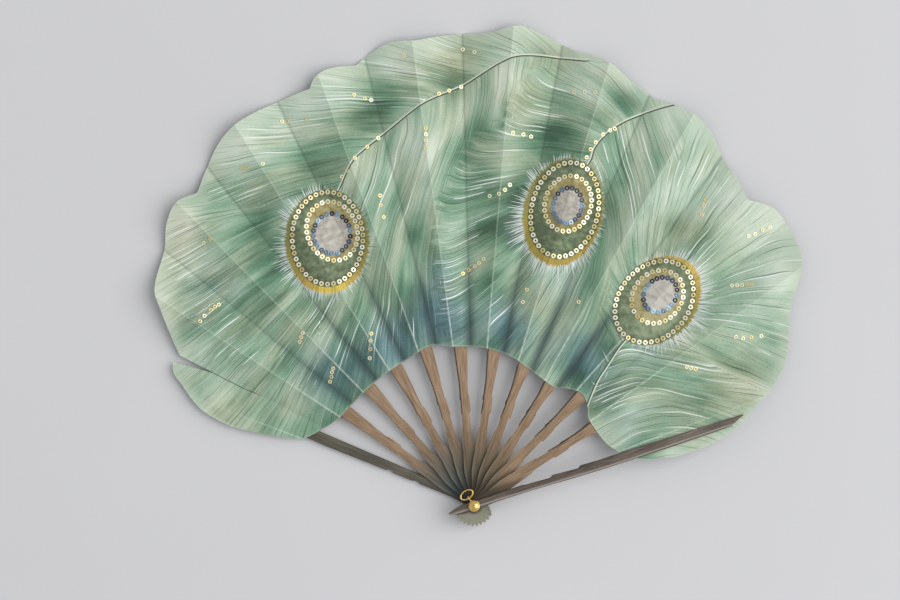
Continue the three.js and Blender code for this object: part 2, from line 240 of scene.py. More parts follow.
def carved_copy(solid, name, k, wear, clear=-1):
    """A merged copy of a carved piece with worn edges, except near the rivet, and its grain laid along it in mm."""
    bpy.ops.object.select_all(action="DESELECT")
    piece = bpy.data.objects.new(name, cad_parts[solid].data.copy())
    bpy.context.collection.objects.link(piece)
    mesh = piece.data
    mesh.materials.clear()
    piece.select_set(True)
    bpy.context.view_layer.objects.active = piece
    bpy.ops.object.mode_set(mode="EDIT")
    bpy.ops.mesh.select_all(action="SELECT")
    bpy.ops.mesh.remove_doubles(threshold=MERGE_GAP)
    bpy.ops.mesh.dissolve_limited(angle_limit=FLAT_ANGLE)
    bpy.ops.object.mode_set(mode="OBJECT")
    turn = math.radians(fold_angle(k) - RIDGE_LEAD)
    beside = {}
    for face in mesh.polygons:
        for key in face.edge_keys:
            beside.setdefault(key, []).append(face.normal)
    weights = mesh.attributes.new("bevel_weight_edge", "FLOAT", "EDGE")
    for edge, weight in zip(mesh.edges, weights.data):
        normals = beside[edge.key]
        middle = (mesh.vertices[edge.vertices[0]].co + mesh.vertices[edge.vertices[1]].co) / 2
        from_rivet = middle.x * math.cos(turn) + middle.y * math.sin(turn)
        if from_rivet > clear and len(normals) == 2 and normals[0].angle(normals[1]) > WORN_ANGLE:
            weight.value = 1
    apply_modifier(piece, "BEVEL", width=wear, segments=2, limit_method="WEIGHT")
    places = np.zeros(len(mesh.vertices) * 3)
    mesh.vertices.foreach_get("co", places)
    x, y, z = places.reshape(-1, 3).T / MM
    grain = np.stack([x * math.cos(turn) + y * math.sin(turn), y * math.cos(turn) - x * math.sin(turn), z], -1)
    lay_values(mesh, "grain", grain)
    smooth_piece(piece, 25)
    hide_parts(solid)
    return piece


def wood_grain(node, length, width):
    """A carved piece's own place in mm, as a vector and split, and fibres of such a length and width."""
    grain = node("Attribute", out=1, attribute_name="grain")
    stretched = node("VectorMath", [grain, (1 / length, 1 / width, 1 / width)], **TIMES)
    fibre = node("TexNoise", {"Vector": stretched, "Scale": 1.0, "Detail": 4.0, "Roughness": 0.6})
    return grain, node("SeparateXYZ", [grain]).node.outputs, fibre


# Dark stained hardwood, rubbed with wax: fine grain along the stick, greenish on the rear guard, brown on the front.
guard_wood, node = new_material("dark_stained_hardwood")
grain, (along, across, _), fibre = wood_grain(node, 16, 0.7)
cloudy = node("VectorMath", [grain, (1 / 30, 1 / 9, 1 / 9)], **TIMES)
stain = node("TexNoise", {"Vector": cloudy, "Scale": 1.0, "Detail": 2.0})
mixed = node("Mix", {0: 0.45, 2: fibre, 3: stain})
greened = [(0.33, "#33332a"), (0.47, "#4b483c"), (0.58, "#5c574a"), (0.7, "#716b5e")]
browned = [(0.33, "#3c322b"), (0.47, "#584d44"), (0.58, "#6e6359"), (0.7, "#857b70")]
greened, browned = [node("ValToRGB", [mixed], stops=stops) for stops in (greened, browned)]
front = node("Attribute", out=2, attribute_name="front")
tone = node("Mix", {0: front, 6: greened, 7: browned}, out=2, **RGBA)
# The front guard's right edge carries a painted highlight along its bevel, with a dark line along its very rim.
swell = node("MapRange", [along, 20.0, 82.0, 1.8, 2.9])
taper = node("MapRange", [along, 95.0, 165.0, 0.0, -1.0])
half = node("Math", [swell, taper], **PLUS)
from_rim = node("Math", [across, half], **PLUS)
for start, finish, amount, code in ((1.9, 1.1, 0.6, "#aaa196"), (0.55, 0.35, 0.85, "#3a322b")):
    line = node("MapRange", [from_rim, start, finish, 0.0, amount], **SMOOTH)
    line = node("Math", [line, front], **TIMES)
    tone = node("Mix", {0: line, 6: tone, 7: linear(code)}, out=2, **RGBA)
# The rear guard's tail is faded.
tail = node("MapRange", [along, -3.0, -7.0, 1.0, 0.15], **SMOOTH)
tail = node("Math", [tail, front], operation="MAXIMUM")
tone = node("Mix", {0: tail, 6: linear("#8f8d7b"), 7: tone}, out=2, **RGBA)
relief = node("Bump", {"Strength": 0.35, "Distance": 0.08 * MM, "Height": fibre})
finish_material(node, {"Base Color": tone, "Roughness": 0.5, "Specular IOR Level": 0.4, "Normal": relief})

rear_guard = carved_copy("rear_guard", "rear_guard_wood", 0, GUARD_WEAR, CLEAR_OF_RIVET)
rear_guard.data.materials.append(guard_wood)
lay_values(rear_guard.data, "front", np.zeros(len(rear_guard.data.vertices)))
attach(rear_guard, "rear_guard")

# ---- Inner sticks ----
# Ten thin blades of tan wood, sawn and carved with two steps in their edges. Below the rivet their tails are cut to
# points and make a rosette; near the rivet the wood is stained grey green by the leaf's dye. Above, each thins to a
# rib that is glued under one face of the leaf.
STICK_WEAR = 0.16 * MM

# Tan fine-grained wood, waxed: brown streaks along the blade, dye and dirt near the rivet, less at the right, and
# painted highlights, painted shadows and painted shade lines along the edges.
stick_wood, node = new_material("tan_waxed_wood")
grain, (along, across, _), fibre = wood_grain(node, 14, 0.8)
tone = node("ValToRGB", [fibre], stops=[(0.3, "#6e5741"), (0.48, "#8b7258"), (0.62, "#998066"), (0.75, "#a48f77")])
dye = node("Attribute", out=2, attribute_name="dye")
reach = node("MapRange", [dye, 0.0, 0.3, 28.0, 58.0])
near = node("MapRange", [along, reach, 12.0, 0.0, 0.95], **SMOOTH)
dirt = node("ValToRGB", [dye], stops=[(0.0, "#5f5340"), (0.3, "#4f4535"), (0.55, "#43453a"), (0.78, "#2f484a")])
stain_and_painted_light = node("Mix", {0: near, 6: tone, 7: dirt}, out=2, **RGBA)
# There the left edge carries a painted highlight, and a painted shadow of the next stick, which overlaps this one
# at its right, lies along that stick's edge.
overlap = (math.sin(math.radians(PITCH)), math.cos(math.radians(PITCH)), 0)
from_next = node("VectorMath", [grain, overlap], out=1, operation="DOT_PRODUCT")
outward = node("MapRange", [along, 46.0, 24.0], **SMOOTH)
for place, start, finish, amount, code in (
    (across, 2.2, 3.8, 0.4, "#8a7e6a"),
    (from_next, 7.0, 4.3, 0.6, "#24201a"),
):
    line = node("MapRange", [place, start, finish, 0.0, amount], **SMOOTH)
    line = node("Math", [line, outward], **TIMES)
    stain_and_painted_light = node("Mix", {0: line, 6: stain_and_painted_light, 7: linear(code)}, out=2, **RGBA)
tail = node("MapRange", [along, -2.0, -6.0, 0.0, 0.8], **SMOOTH)
faded_and_shaded = node("Mix", {0: tail, 6: stain_and_painted_light, 7: linear("#9f9d8a")}, out=2, **RGBA)
# A painted shade line along the left edge of the upper half, where the stick's side is in shadow, less on the
# sticks at the left.
swell = node("MapRange", [along, 76.0, 82.0, 2.95, 3.2])
widen = node("MapRange", [along, 82.0, 95.0, 0.0, 0.8])
half = node("Math", [swell, widen], **PLUS)
inside = node("Math", [half, across], **MINUS)
line = node("MapRange", [inside, 0.95, 0.6], **SMOOTH)
upper = node("MapRange", [along, 52.0, 64.0], **SMOOTH)
line = node("Math", [line, upper], **TIMES)
edge_shade_amount = node("MapRange", [dye, 0.9, 0.6, 0.2, 0.9])
line = node("Math", [line, edge_shade_amount], **TIMES)
faded_and_shaded = node("Mix", {0: line, 6: faded_and_shaded, 7: linear("#241d18")}, out=2, **RGBA)
relief = node("Bump", {"Strength": 0.3, "Distance": 0.06 * MM, "Height": fibre})
finish_material(node, {"Base Color": faded_and_shaded, "Roughness": 0.6, "Specular IOR Level": 0.35, "Normal": relief})

for k in range(1, LAST):
    stick = carved_copy(f"stick_{k:02d}", f"carved_stick_{k:02d}", k, STICK_WEAR, CLEAR_OF_RIVET)
    lay_values(stick.data, "dye", np.full(len(stick.data.vertices), 1 - (k - 1) / (STICK_COUNT - 1)))
    stick.data.materials.append(stick_wood)
    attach(stick, f"stick_{k:02d}")

# ---- Leaf ----
# One sheet of thin cloth, cut with a scalloped edge, folded in pleats and glued to the ribs and guards. Each pleat
# is a face on its stick, then a free face that folds as the fan closes. It is torn along the first fold. The front
# is painted by hand as three overlapping peacock feathers: pale and dark barbs, a quill and an eye for each. Lengths
# are in mm here and in the sequins' section.
LEAF_T = 0.22
GLUE_GAP = 0.1
PLEAT_SLOPE = 0.24
VALLEY_ANGLE = RIDGE_LEAD - PITCH / 2
RIDGE_RISE = PLEAT_SLOPE * math.sin(math.radians(PITCH / 2))
FACE_COLUMNS = 15
LEAF_ROWS = 104
CRACK_START = 148
CRACK_WIDTH = 0.4
CRACK_STRAY = 1.3
CRACK_EASE = 12
TEAR_START = 182
TEAR_DROOP = 5.0
FREE_RIPPLE = 0.16
GLUED_RIPPLE = 0.05
# The leaf's first and last points are cut by a hair, so that their edges keep a length; just past the tear's fold the
# outer edge steps up.
POINT_CUT = 0.0008
PAST_TEAR = 1e-6
OUTER_EDGE = [
    [(-0.256, 158), (-0.23, 166), (-0.159, 178), (0.004, 190), (0.248, 203), (0.5, 207)],
    [(0.5, 205), (0.9, 229.4), (1.06, 238.7), (1.51, 249.2), (1.753, 258.5), (1.997, 262.9), (2.241, 258.5)],
    [(2.241, 258.5), (2.485, 266.6), (2.77, 274.7), (3.055, 278.4), (3.583, 277.8), (3.868, 277.1)],
    [(3.868, 277.1), (3.949, 282.1), (4.112, 284.6), (4.397, 282.1)],
    [(4.397, 282.1), (4.519, 285.8), (4.763, 290.8), (5.047, 289.5)],
    [(5.047, 289.5), (5.454, 292), (5.78, 292.6), (6.048, 297.6), (6.268, 294.5), (6.634, 288.3),
     (7, 285.8), (7.244, 280.2), (7.57, 275.3)],
    [(7.57, 275.3), (7.976, 277.1), (8.261, 272.8), (8.505, 264.7), (8.79, 258.5), (9.017, 253)],
    [(9.017, 253), (9.196, 258.5), (9.359, 261), (9.684, 257.9), (9.969, 251.1), (10.265, 230.6), (10.523, 220.1),
     (10.716, 212), (10.909, 199.6), (11.089, 184.1), (11.334, 167.4), (11.496, 148.8), (11.553, 127)],
]
INNER_EDGE = [
    [(-0.256, 158), (-0.23, 145), (-0.159, 130), (-0.037, 117), (0.085, 111.6), (0.655, 102.3), (1.06, 99.2),
     (1.956, 97.7), (3.583, 99.2), (4.397, 102.3), (4.966, 99.2), (5.942, 97.7), (6.837, 94.6), (7.325, 91.5),
     (8.383, 88.4), (8.79, 93), (9.196, 96.1), (9.603, 93), (9.847, 89.3), (10.2, 88.4), (10.716, 90.5),
     (11.05, 96.1), (11.21, 99.2), (11.456, 111.6), (11.553, 127)],
]


def opening(k):
    """Degrees between stick k's fold and the next."""
    return FRONT_PITCH if k == STICK_COUNT else PITCH


def valley_fold(k):
    """Fold position of the valley that follows stick k."""
    return k + PITCH / 2 / opening(k)


def edge_radius(lists, fold):
    """Radius of the leaf's edge at a fold position: a smooth curve through the points of the list that holds it."""
    points = next((part for part in lists if fold <= part[-1][0]), lists[-1])
    after = next((i for i, point in enumerate(points) if fold <= point[0]), len(points) - 1)
    after = max(after, 1)
    (x0, y0), (x1, y1) = points[after - 1], points[after]

    def slope(i):
        """Slope of the curve at a point of the list."""
        before, beyond = points[max(i - 1, 0)], points[min(i + 1, len(points) - 1)]
        return (beyond[1] - before[1]) / (beyond[0] - before[0])

    t = min(max((fold - x0) / (x1 - x0), 0), 1)
    pull = (x1 - x0) * (t * (1 - t) ** 2 * slope(after - 1) + t * t * (t - 1) * slope(after))
    return y0 + (y1 - y0) * t * t * (3 - 2 * t) + pull


# Heights of the leaf's glued faces at their valley folds, from the frame. The last is glued under the front guard.
leaf_level = [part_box(f"leaf_panel_{k:02d}")[0].z / MM for k in range(LAST + 1)]
leaf_level[LAST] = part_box("front_guard")[0].z / MM - LEAF_T - GLUE_GAP


def leaf_height(k, free, x, y):
    """Height of the leaf's underside at a place on pleat k, and how far across its free face that is (0 to 1)."""
    turn = math.radians(fold_angle(k) - RIDGE_LEAD)
    along, across = x * math.cos(turn) + y * math.sin(turn), y * math.cos(turn) - x * math.sin(turn)
    if not free:
        if k == 0:
            return np.full_like(x, leaf_level[0]), np.zeros_like(x)
        if k == LAST:
            return leaf_level[k] + RIDGE_RISE * along, np.zeros_like(x)
        valley = math.radians(VALLEY_ANGLE)
        rise = PLEAT_SLOPE * (across * math.cos(valley) - along * math.sin(valley))
        return leaf_level[k] + rise, np.zeros_like(x)
    share = (VALLEY_ANGLE - np.degrees(np.arctan2(across, along))) / (opening(k) - PITCH / 2)
    share = np.clip(share, 0, 1)
    top = leaf_level[k + 1] + RIDGE_RISE * np.hypot(x, y)
    return leaf_level[k] + (top - leaf_level[k]) * share, share


def face_grid(k, free):
    """Places of one face of pleat k in rows from the inner edge to the outer: x, y, z, share of the free face, fold,
    radius, and distance from the outer and from the inner edge."""
    if free:
        start, finish = valley_fold(k), k + 1
    else:
        start = OUTER_EDGE[0][0][0] + POINT_CUT if k == 0 else k
        finish = OUTER_EDGE[-1][-1][0] - POINT_CUT if k == LAST else valley_fold(k)
    steps = np.linspace(0, 1, FACE_COLUMNS + 1)
    if k == 0 and not free:
        steps = 1 - np.cos(steps * math.pi / 2)
    if k == LAST:
        steps = np.sin(steps * math.pi / 2)
    folds = start + (finish - start) * steps
    if free and k == 0:
        folds[0] += PAST_TEAR
    inner = np.array([edge_radius(INNER_EDGE, f) for f in folds])
    outer = np.array([edge_radius(OUTER_EDGE, f) for f in folds])
    rows = np.linspace(0, 1, LEAF_ROWS + 1)[:, None]
    radius = inner + (outer - inner) * rows
    angle = np.radians([fold_angle(f) for f in folds])[None, :] + 0 * radius
    x, y = radius * np.cos(angle), radius * np.sin(angle)
    if k == 0:
        # The tear strays below the first fold, and the cloth under it hangs away from its open end.
        shift = -CRACK_STRAY * np.clip((radius - CRACK_START) / CRACK_EASE, 0, 1)
        if free:
            shift = shift + CRACK_WIDTH * np.clip((radius - CRACK_START) / CRACK_EASE * 2, 0, 1)
        else:
            shift = shift - TEAR_DROOP * np.clip((radius - TEAR_START) / (outer - TEAR_START), 0, 1)
        shift = shift * np.clip(1 - 2 * (steps if free else 1 - steps), 0, 1)
        x, y = x + shift * np.sin(angle), y - shift * np.cos(angle)
    z, share = leaf_height(k, free, x, y)
    belly = 4 * steps * (1 - steps)
    ripple = np.sin(radius / 9.0 + 1.7 * k) * 0.5 + np.sin(radius / 17.0 + 2.3 * k + steps * 2) * 0.5
    z = z + belly * (FREE_RIPPLE * ripple if free else GLUED_RIPPLE * (ripple + 1))
    return np.stack([x, y, z + LEAF_T, share, folds + 0 * radius, radius, outer - radius, radius - inner], -1)


# The painted feathers, in mm on the open leaf: each has its quill from the eye to its base, and its eye's ellipses
# (centre, half width, half length, lean clockwise in degrees) for the two rows of gold sequins, the blue row and the
# yellow fringe. The barbs spread from the eye by "spray", lean towards the feather's tip by "wind" within a reach of
# its axis, and lie back along the quill's two sides by "sweep", fully from some distance from the eye. "crowd" is
# how much closer than the painter's strokes they would lie on the two sides. To the right of some x they "bend":
# beyond a start in one direction they turn aside as the square of the distance; where they "curl" they do so within a
# reach of the feather's edge. The eye's white hairs are longest in a direction given in degrees; its fringe is most
# golden in another, by a share, and the higher the last number the narrower is the golden part.
FEATHERS = [
    {
        "quill": [(-90.8, 165.5), (-88.7, 186.0), (-83.1, 197.2), (-78.7, 207.1), (-73.8, 215.1), (-66.3, 222.0),
                  (-50.8, 234.4), (-31.0, 249.2), (-8.1, 259.5), (5.6, 267.8), (16.1, 274.0), (26.0, 277.8),
                  (37.8, 278.4), (52.1, 277.1), (70.0, 275.0)],
        "gold": [((-90.8, 165.5), 21.9, 28.6, 0), ((-88.0, 169.9), 15.5, 18.6, -20)],
        "blue": ((-88.0, 168.3), 11.4, 12.4, 0),
        "fringe": ((-91.1, 163.4), 26.2, 32.2, 0),
        "spray": 60,
        "crowd": (2.0, 1.0),
        "wind": (1.2, 45),
        "sweep": (1.1, 0.0, 60),
        "hairs": (200, 3.8, 3.0),
        "golden": (274, 1.0, 4),
    },
    {
        "quill": [(56.1, 182.9), (60.8, 195.3), (67.0, 206.5), (71.9, 213.9), (73.8, 220.1), (78.1, 226.3),
                  (87.4, 234.4), (99.8, 240.6), (118.4, 246.8), (145.0, 252.0)],
        "gold": [((56.1, 182.9), 20.5, 29.5, 14), ((58.0, 186.6), 14.3, 17.4, 17)],
        "blue": ((57.8, 185.4), 8.9, 11.0, 15),
        "fringe": ((55.0, 181.5), 24.6, 33.8, 14),
        "spray": 60,
        "crowd": (1.0, 1.0),
        "wind": (0.5, 400),
        "sweep": (0.0, 0.0, 60),
        "bend": ((-1, 0), -35, (0, 0.0026), -200),
        "curl": (12, 0.024),
        "hairs": (215, 4.5, 3.5),
        "golden": (278, 0.74, 2),
    },
    {
        "quill": [(111.2, 126.0), (102.9, 111.6), (95.5, 104.2), (89.9, 98.0), (81.8, 85.6), (76.3, 76.9),
                  (71.3, 65.1), (68.8, 58.9), (65.7, 49.6)],
        "gold": [((111.2, 126.0), 21.5, 27.6, 40), ((113.2, 129.0), 14.9, 17.4, 40)],
        "blue": ((114.9, 130.3), 9.6, 11.5, 40),
        "fringe": ((114.0, 127.0), 23.6, 29.8, 40),
        "spray": 90,
        "crowd": (2.0, 1.3),
        "wind": (0.35, 25),
        "sweep": (1.3, 0.8, 50),
        "bend": ((1, 0), 112, (0, -0.0045), 0),
        "hairs": (-15, 4.0, 4.0),
        "golden": (48, 0.88, 2),
    },
]
BARBS = ["barbs_1", "barbs_2", "barbs_3"]
# Where the second feather covers the first and the third covers the second.
COVER_EDGES = [
    [(78.1, 288.3), (62.6, 277.8), (34.7, 263.5), (21.1, 237.5), (3.1, 226.9), (-8.7, 210.2), (-18.0, 195.3),
     (-21.1, 176.7), (-21.1, 127.1), (-18.0, 99.2), (-16.7, 80.0)],
    [(165.0, 268.0), (140.1, 238.7), (121.5, 210.8), (102.9, 182.9), (90.5, 151.9), (84.3, 127.1), (82.5, 114.7),
     (85.6, 99.2), (81.8, 85.6), (76.3, 76.9), (69.4, 62.0), (60.0, 40.0)],
]
# Soft washes under the barbs: x, y, reach and amount. The first lightens or darkens, then come blue and olive.
SHADE_WASHES = [
    (-139, 232, 17, 0.7), (-156, 216, 12, 0.85), (-99, 248, 11, 0.7), (-102, 263, 8, 0.2), (-86, 265, 9, 0.5),
    (-77, 246, 8, 0.2), (-50, 276, 11, 1.1), (-27, 285, 9, 0.5), (-12, 264, 9, -0.5), (-28, 262, 7, -0.15),
    (-55, 248, 11, -0.8), (-46, 239, 9, 0.6), (-67, 231, 8, -0.3), (-84, 217, 8, -0.2), (-102, 214, 10, -0.6),
    (-64, 211, 10, 0.45), (-134, 180, 11, -0.4), (-151, 202, 7, -0.25), (-157, 170, 8, 0.15), (26, 292, 10, 0.75),
    (19, 264, 11, 0.85), (10, 279, 7, -0.15), (47, 279, 7, -0.2), (74, 264, 11, 0.8), (89, 248, 8, -0.5),
    (103, 251, 6, -0.5), (121, 238, 12, 0.95), (103, 232, 8, 0.2), (25, 234, 8, 0.2), (50, 229, 12, -0.95),
    (46, 211, 7, -0.2), (35, 206, 6, -0.6), (7, 232, 7, -0.5), (10, 217, 8, 0.2), (6, 202, 7, -0.45),
    (10, 186, 6, -0.2), (5, 170, 9, -0.6), (10, 152, 6, -0.2), (10, 136, 6, -0.3), (-30, 222, 12, 0.95),
    (-11, 220, 10, -0.6), (-28, 196, 9, -0.3), (-27, 192, 7, 0.4), (-46, 183, 7, -0.2), (-38, 167, 4, -0.5),
    (-15, 168, 5, 0.3), (28, 170, 9, -1.3), (28, 194, 8, -0.85), (50, 140, 7, 0.3), (48, 168, 10, -0.35),
    (68, 178, 9, -0.3), (65, 170, 7, -0.2), (91, 188, 11, -0.75), (86, 202, 6, -0.4), (102, 186, 7, -0.2),
    (109, 192, 12, 0.6), (122, 186, 8, 0.25), (134, 214, 11, 0.4), (103, 174, 7, 0.4), (122, 175, 6, -0.4),
    (140, 163, 6, -0.3), (102, 155, 6, -0.4), (184, 180, 12, 0.6), (160, 194, 10, 1.05), (165, 161, 13, 0.5),
    (176, 155, 8, -0.3), (187, 144, 11, 0.9), (162, 122, 8, 0.5), (177, 122, 9, 0.35), (196, 108, 10, 0.3),
    (111, 122, 16, 0.35), (120, 139, 7, 0.3), (121, 108, 7, 0.3), (-78, 147, 8, -0.3), (159, 93, 8, 0.35),
    (159, 81, 8, -0.2), (178, 71, 9, 0.65), (167, 49, 10, 0.45), (142, 63, 9, -0.35), (105, 63, 10, 0.65),
    (121, 31, 11, 0.75), (91, 50, 10, 0.35), (83, 63, 8, -0.5), (84, 77, 7, -0.25), (83, 95, 7, -0.65),
    (83, 124, 7, -0.25), (78, 110, 6, -0.5), (65, 107, 8, 0.7), (69, 102, 7, -0.5), (63, 81, 7, -0.9),
    (29, 105, 9, -0.2), (16, 102, 9, -0.4), (-9, 124, 19, -0.3), (-12, 105, 9, -0.3), (-28, 124, 7, -0.2),
    (-38, 133, 7, -0.7), (-40, 112, 9, -0.6), (-46, 90, 7, -0.3), (-83, 84, 14, -0.6), (-83, 108, 7, 0.2),
    (-102, 99, 9, 0.55), (-102, 124, 7, -0.2), (-102, 77, 7, -0.4), (-120, 90, 7, -0.2), (-120, 77, 7, 0.15),
    (-121, 46, 7, -0.15), (-128, 124, 9, -0.5), (-121, 154, 12, -0.85), (-139, 108, 8, -0.3), (-139, 81, 8, 0.2),
    (-156, 125, 9, -0.35), (-151, 96, 12, -0.2), (-166, 88, 13, 0.5), (-157, 65, 10, 0.35), (-148, 46, 8, 0.2),
    (-194, 124, 9, 1.1), (-193, 109, 7, 0.3), (-177, 93, 9, 0.25), (-180, 169, 10, 0.9), (-196, 170, 8, 0.5),
    (-177, 155, 8, 0.2), (-180, 182, 9, 0.2),
]
BLUE_WASHES = [
    (-24, 121, 12, 0.9), (16, 115, 11, 0.7), (-21, 146, 7, 0.5), (-89, 81, 16, 0.7), (-52, 102, 12, 0.8),
    (66, 99, 12, 0.5), (91, 50, 14, 0.35), (-176, 136, 9, 0.3), (-170, 112, 10, 0.25), (72, 84, 10, 0.5),
    (109, 96, 10, 0.3), (-70, 84, 9, 0.25), (-46, 93, 9, 0.35), (-14, 104, 12, 0.5), (28, 103, 11, 0.4),
    (48, 92, 9, 0.2), (-150, 135, 12, 0.25),
]
OLIVE_WASHES = [
    (-12, 275, 12, 0.6), (53, 281, 9, 0.6), (29, 251, 10, 0.5), (-40, 267, 9, 0.4), (134, 170, 9, 0.4),
    (165, 74, 14, 0.5), (-190, 150, 9, 0.5), (-188, 180, 9, 0.5), (-190, 118, 9, 0.4), (-160, 60, 10, 0.3),
    (-167, 120, 7, 0.5), (-182, 167, 9, 0.4), (41, 127, 9, 0.3), (-105, 115, 12, 0.25),
]
# How much painted shade and soil the valley folds carry, from the left.
VALLEY_SOIL_AND_SHADE = [0.1, 0.7, 1.0, 1.0, 1.0, 1.0, 1.0, 1.0, 1.0, 0.3, 0.15]
# White hairlines lie thick in some places, and a pale haze in a few.
WHITE_STROKES = [
    (44, 250, 7, 0.6), (29, 234, 7, 0.6), (14, 217, 7, 0.6), (2, 201, 7, 0.6), (-5, 186, 7, 0.6), (-8, 170, 7, 0.6),
    (-12, 154, 7, 0.6), (-11, 138, 7, 0.6), (-8, 122, 7, 0.5), (-29, 280, 8, 0.7), (-44, 256, 10, 0.5),
    (-80, 262, 9, 0.6), (-104, 249, 9, 0.55), (-124, 232, 9, 0.5), (-149, 202, 9, 0.45), (-178, 155, 10, 0.5),
    (-168, 132, 10, 0.5), (-156, 112, 11, 0.55), (-140, 95, 11, 0.5), (-112, 85, 10, 0.45), (-96, 113, 10, 0.4),
    (-70, 100, 12, 0.35), (-45, 110, 10, 0.35), (105, 194, 8, 0.4), (125, 203, 8, 0.5), (143, 201, 8, 0.5),
    (160, 182, 9, 0.5), (185, 150, 10, 0.4), (166, 128, 10, 0.35), (190, 112, 9, 0.35), (100, 92, 10, 0.7),
    (84, 72, 9, 0.7), (161, 92, 11, 0.4), (125, 70, 12, 0.4), (20, 120, 10, 0.4), (55, 128, 10, 0.35),
    (-35, 215, 12, 0.3), (-50, 190, 10, 0.3), (78, 215, 8, 0.45), (95, 225, 9, 0.35), (145, 152, 9, 0.4),
]
HAZE_WASHES = [
    (96, 172, 9, 0.2), (112, 190, 9, 0.1), (-116, 187, 7, 0.3), (29, 172, 6, 0.4), (52, 138, 9, 0.5),
]


def smooth_path(points, steps=10):
    """A smooth path through points."""
    p = np.array(points, float)
    p = np.vstack([2 * p[0] - p[1], p, 2 * p[-1] - p[-2]])
    t = np.linspace(0, 1, steps, endpoint=False)[:, None]
    parts = []
    for a, b, c, d in zip(p, p[1:], p[2:], p[3:]):
        cubic = (3 * b - a - 3 * c + d) * t**3 + (2 * a - 5 * b + 4 * c - d) * t**2 + (c - a) * t + 2 * b
        parts.append(cubic / 2)
    return np.vstack([*parts, p[-2:-1]])


def side_distance(path, places):
    """Distance of places from a path, positive on its left, and how far along the path that is."""
    nearest = np.full(len(places), 1e9)
    signed, along, total = (np.zeros(len(places)) for _ in range(3))
    run = 0
    for a, b in zip(path, path[1:]):
        step, rel = b - a, places - a
        t = np.clip(rel @ step / (step @ step), 0, 1)
        away = np.linalg.norm(rel - t[:, None] * step, axis=1)
        side = np.where(step[0] * rel[:, 1] - step[1] * rel[:, 0] >= 0, 1, -1)
        signed = np.where(away < nearest, away * side, signed)
        nearest = np.minimum(nearest, away)
        # The nearest stretches count by far the most, so that the length along the path has no jumps.
        weight = np.maximum(away, 0.5) ** -8
        along, total = along + weight * (run + t * np.linalg.norm(step)), total + weight
        run += np.linalg.norm(step)
    return signed, along / total


BARB_SPRAY = 2.3
BEND_FADE = 40
SWEEP_REACH = 60
SWEEP_START = 15
FLOW_STEP = 0.1


def barb_flow(feather, places, cover):
    """A number that is the same all along one barb, about in mm across the strokes, and the quill's distance."""
    path = smooth_path(feather["quill"], 6)
    distance, along = side_distance(path, places)
    side = np.sign(distance)
    eye = path[0]
    tip = (path[0] - path[-1]) / np.linalg.norm(path[0] - path[-1])
    bent = places
    if "bend" in feather:
        direction, start, shift, from_x = feather["bend"]
        beyond = np.maximum(places @ direction - start, 0)
        bent = places - np.outer(np.clip((places[:, 0] - from_x) / BEND_FADE, 0, 1) * beyond**2, shift)
    if "curl" in feather:
        reach, amount = feather["curl"]
        bent = bent - np.outer(amount * np.clip(reach - cover, 0, reach + 2) ** 2, (0, 1))
    wind, reach = feather["wind"]
    flow = wind * reach * np.tanh((tip[0] * (bent[:, 1] - eye[1]) - tip[1] * (bent[:, 0] - eye[0])) / reach)
    left, right, full = feather["sweep"]
    ahead = (places - eye) @ (path[1] - path[0]) / np.linalg.norm(path[1] - path[0])
    rise = np.clip(along / full, 0, 1) * np.clip(ahead / SWEEP_START, 0, 1)
    sweep = np.where(distance > 0, left, right) * rise * rise * (3 - 2 * rise)
    flow = flow - sweep * SWEEP_REACH * np.tanh(distance / SWEEP_REACH)

    def turn(source, forward):
        """Turns about a source from the forward direction, counted so that the quill's two sides stay apart."""
        rel = bent - source
        angle = np.arctan2(forward[0] * rel[:, 1] - forward[1] * rel[:, 0], rel @ forward)
        wrong = (np.abs(angle) > math.pi / 2) & (np.sign(angle) == side)
        return np.where(wrong, angle - 2 * math.pi * np.sign(angle), angle) / (2 * math.pi)

    flow = flow + feather["spray"] * turn(eye, tip)
    for a, b in zip(path, path[1:]):
        length = np.linalg.norm(b - a)
        flow = flow + BARB_SPRAY * length * turn((a + b) / 2, (a - b) / length)
    return flow / np.where(flow < 0, *feather["crowd"]), distance


def ellipse_distance(ellipse, places):
    """Distance of places outside an ellipse, about, and their direction from its middle in the ellipse's frame."""
    (cx, cy), half_w, half_l, lean = ellipse
    c, s = math.cos(math.radians(lean)), math.sin(math.radians(lean))
    x, y = places[:, 0] - cx, places[:, 1] - cy
    u, v = x * c - y * s, x * s + y * c
    near = np.hypot(u / half_w, v / half_l)
    slope = np.maximum(np.hypot(u / half_w**2, v / half_l**2), 1e-6)
    turn = np.arctan2(v / half_l, u / half_w)
    return np.maximum(near * (near - 1) / slope, -half_w), np.cos(turn), np.sin(turn)


def washes(spots, places):
    """Sum of soft round spots."""
    total = np.zeros(len(places))
    for x, y, reach, amount in spots:
        total += amount * np.exp(-((places - (x, y)) ** 2).sum(1) / (2 * reach**2))
    return total


def eye_direction(feather, places, degrees):
    """Cosine of the angle between a direction and the places' own, seen from the feather's eye."""
    rel = places - feather["quill"][0]
    towards = (math.cos(math.radians(degrees)), math.sin(math.radians(degrees)))
    return rel @ towards / np.maximum(np.linalg.norm(rel, axis=1), 1e-6)


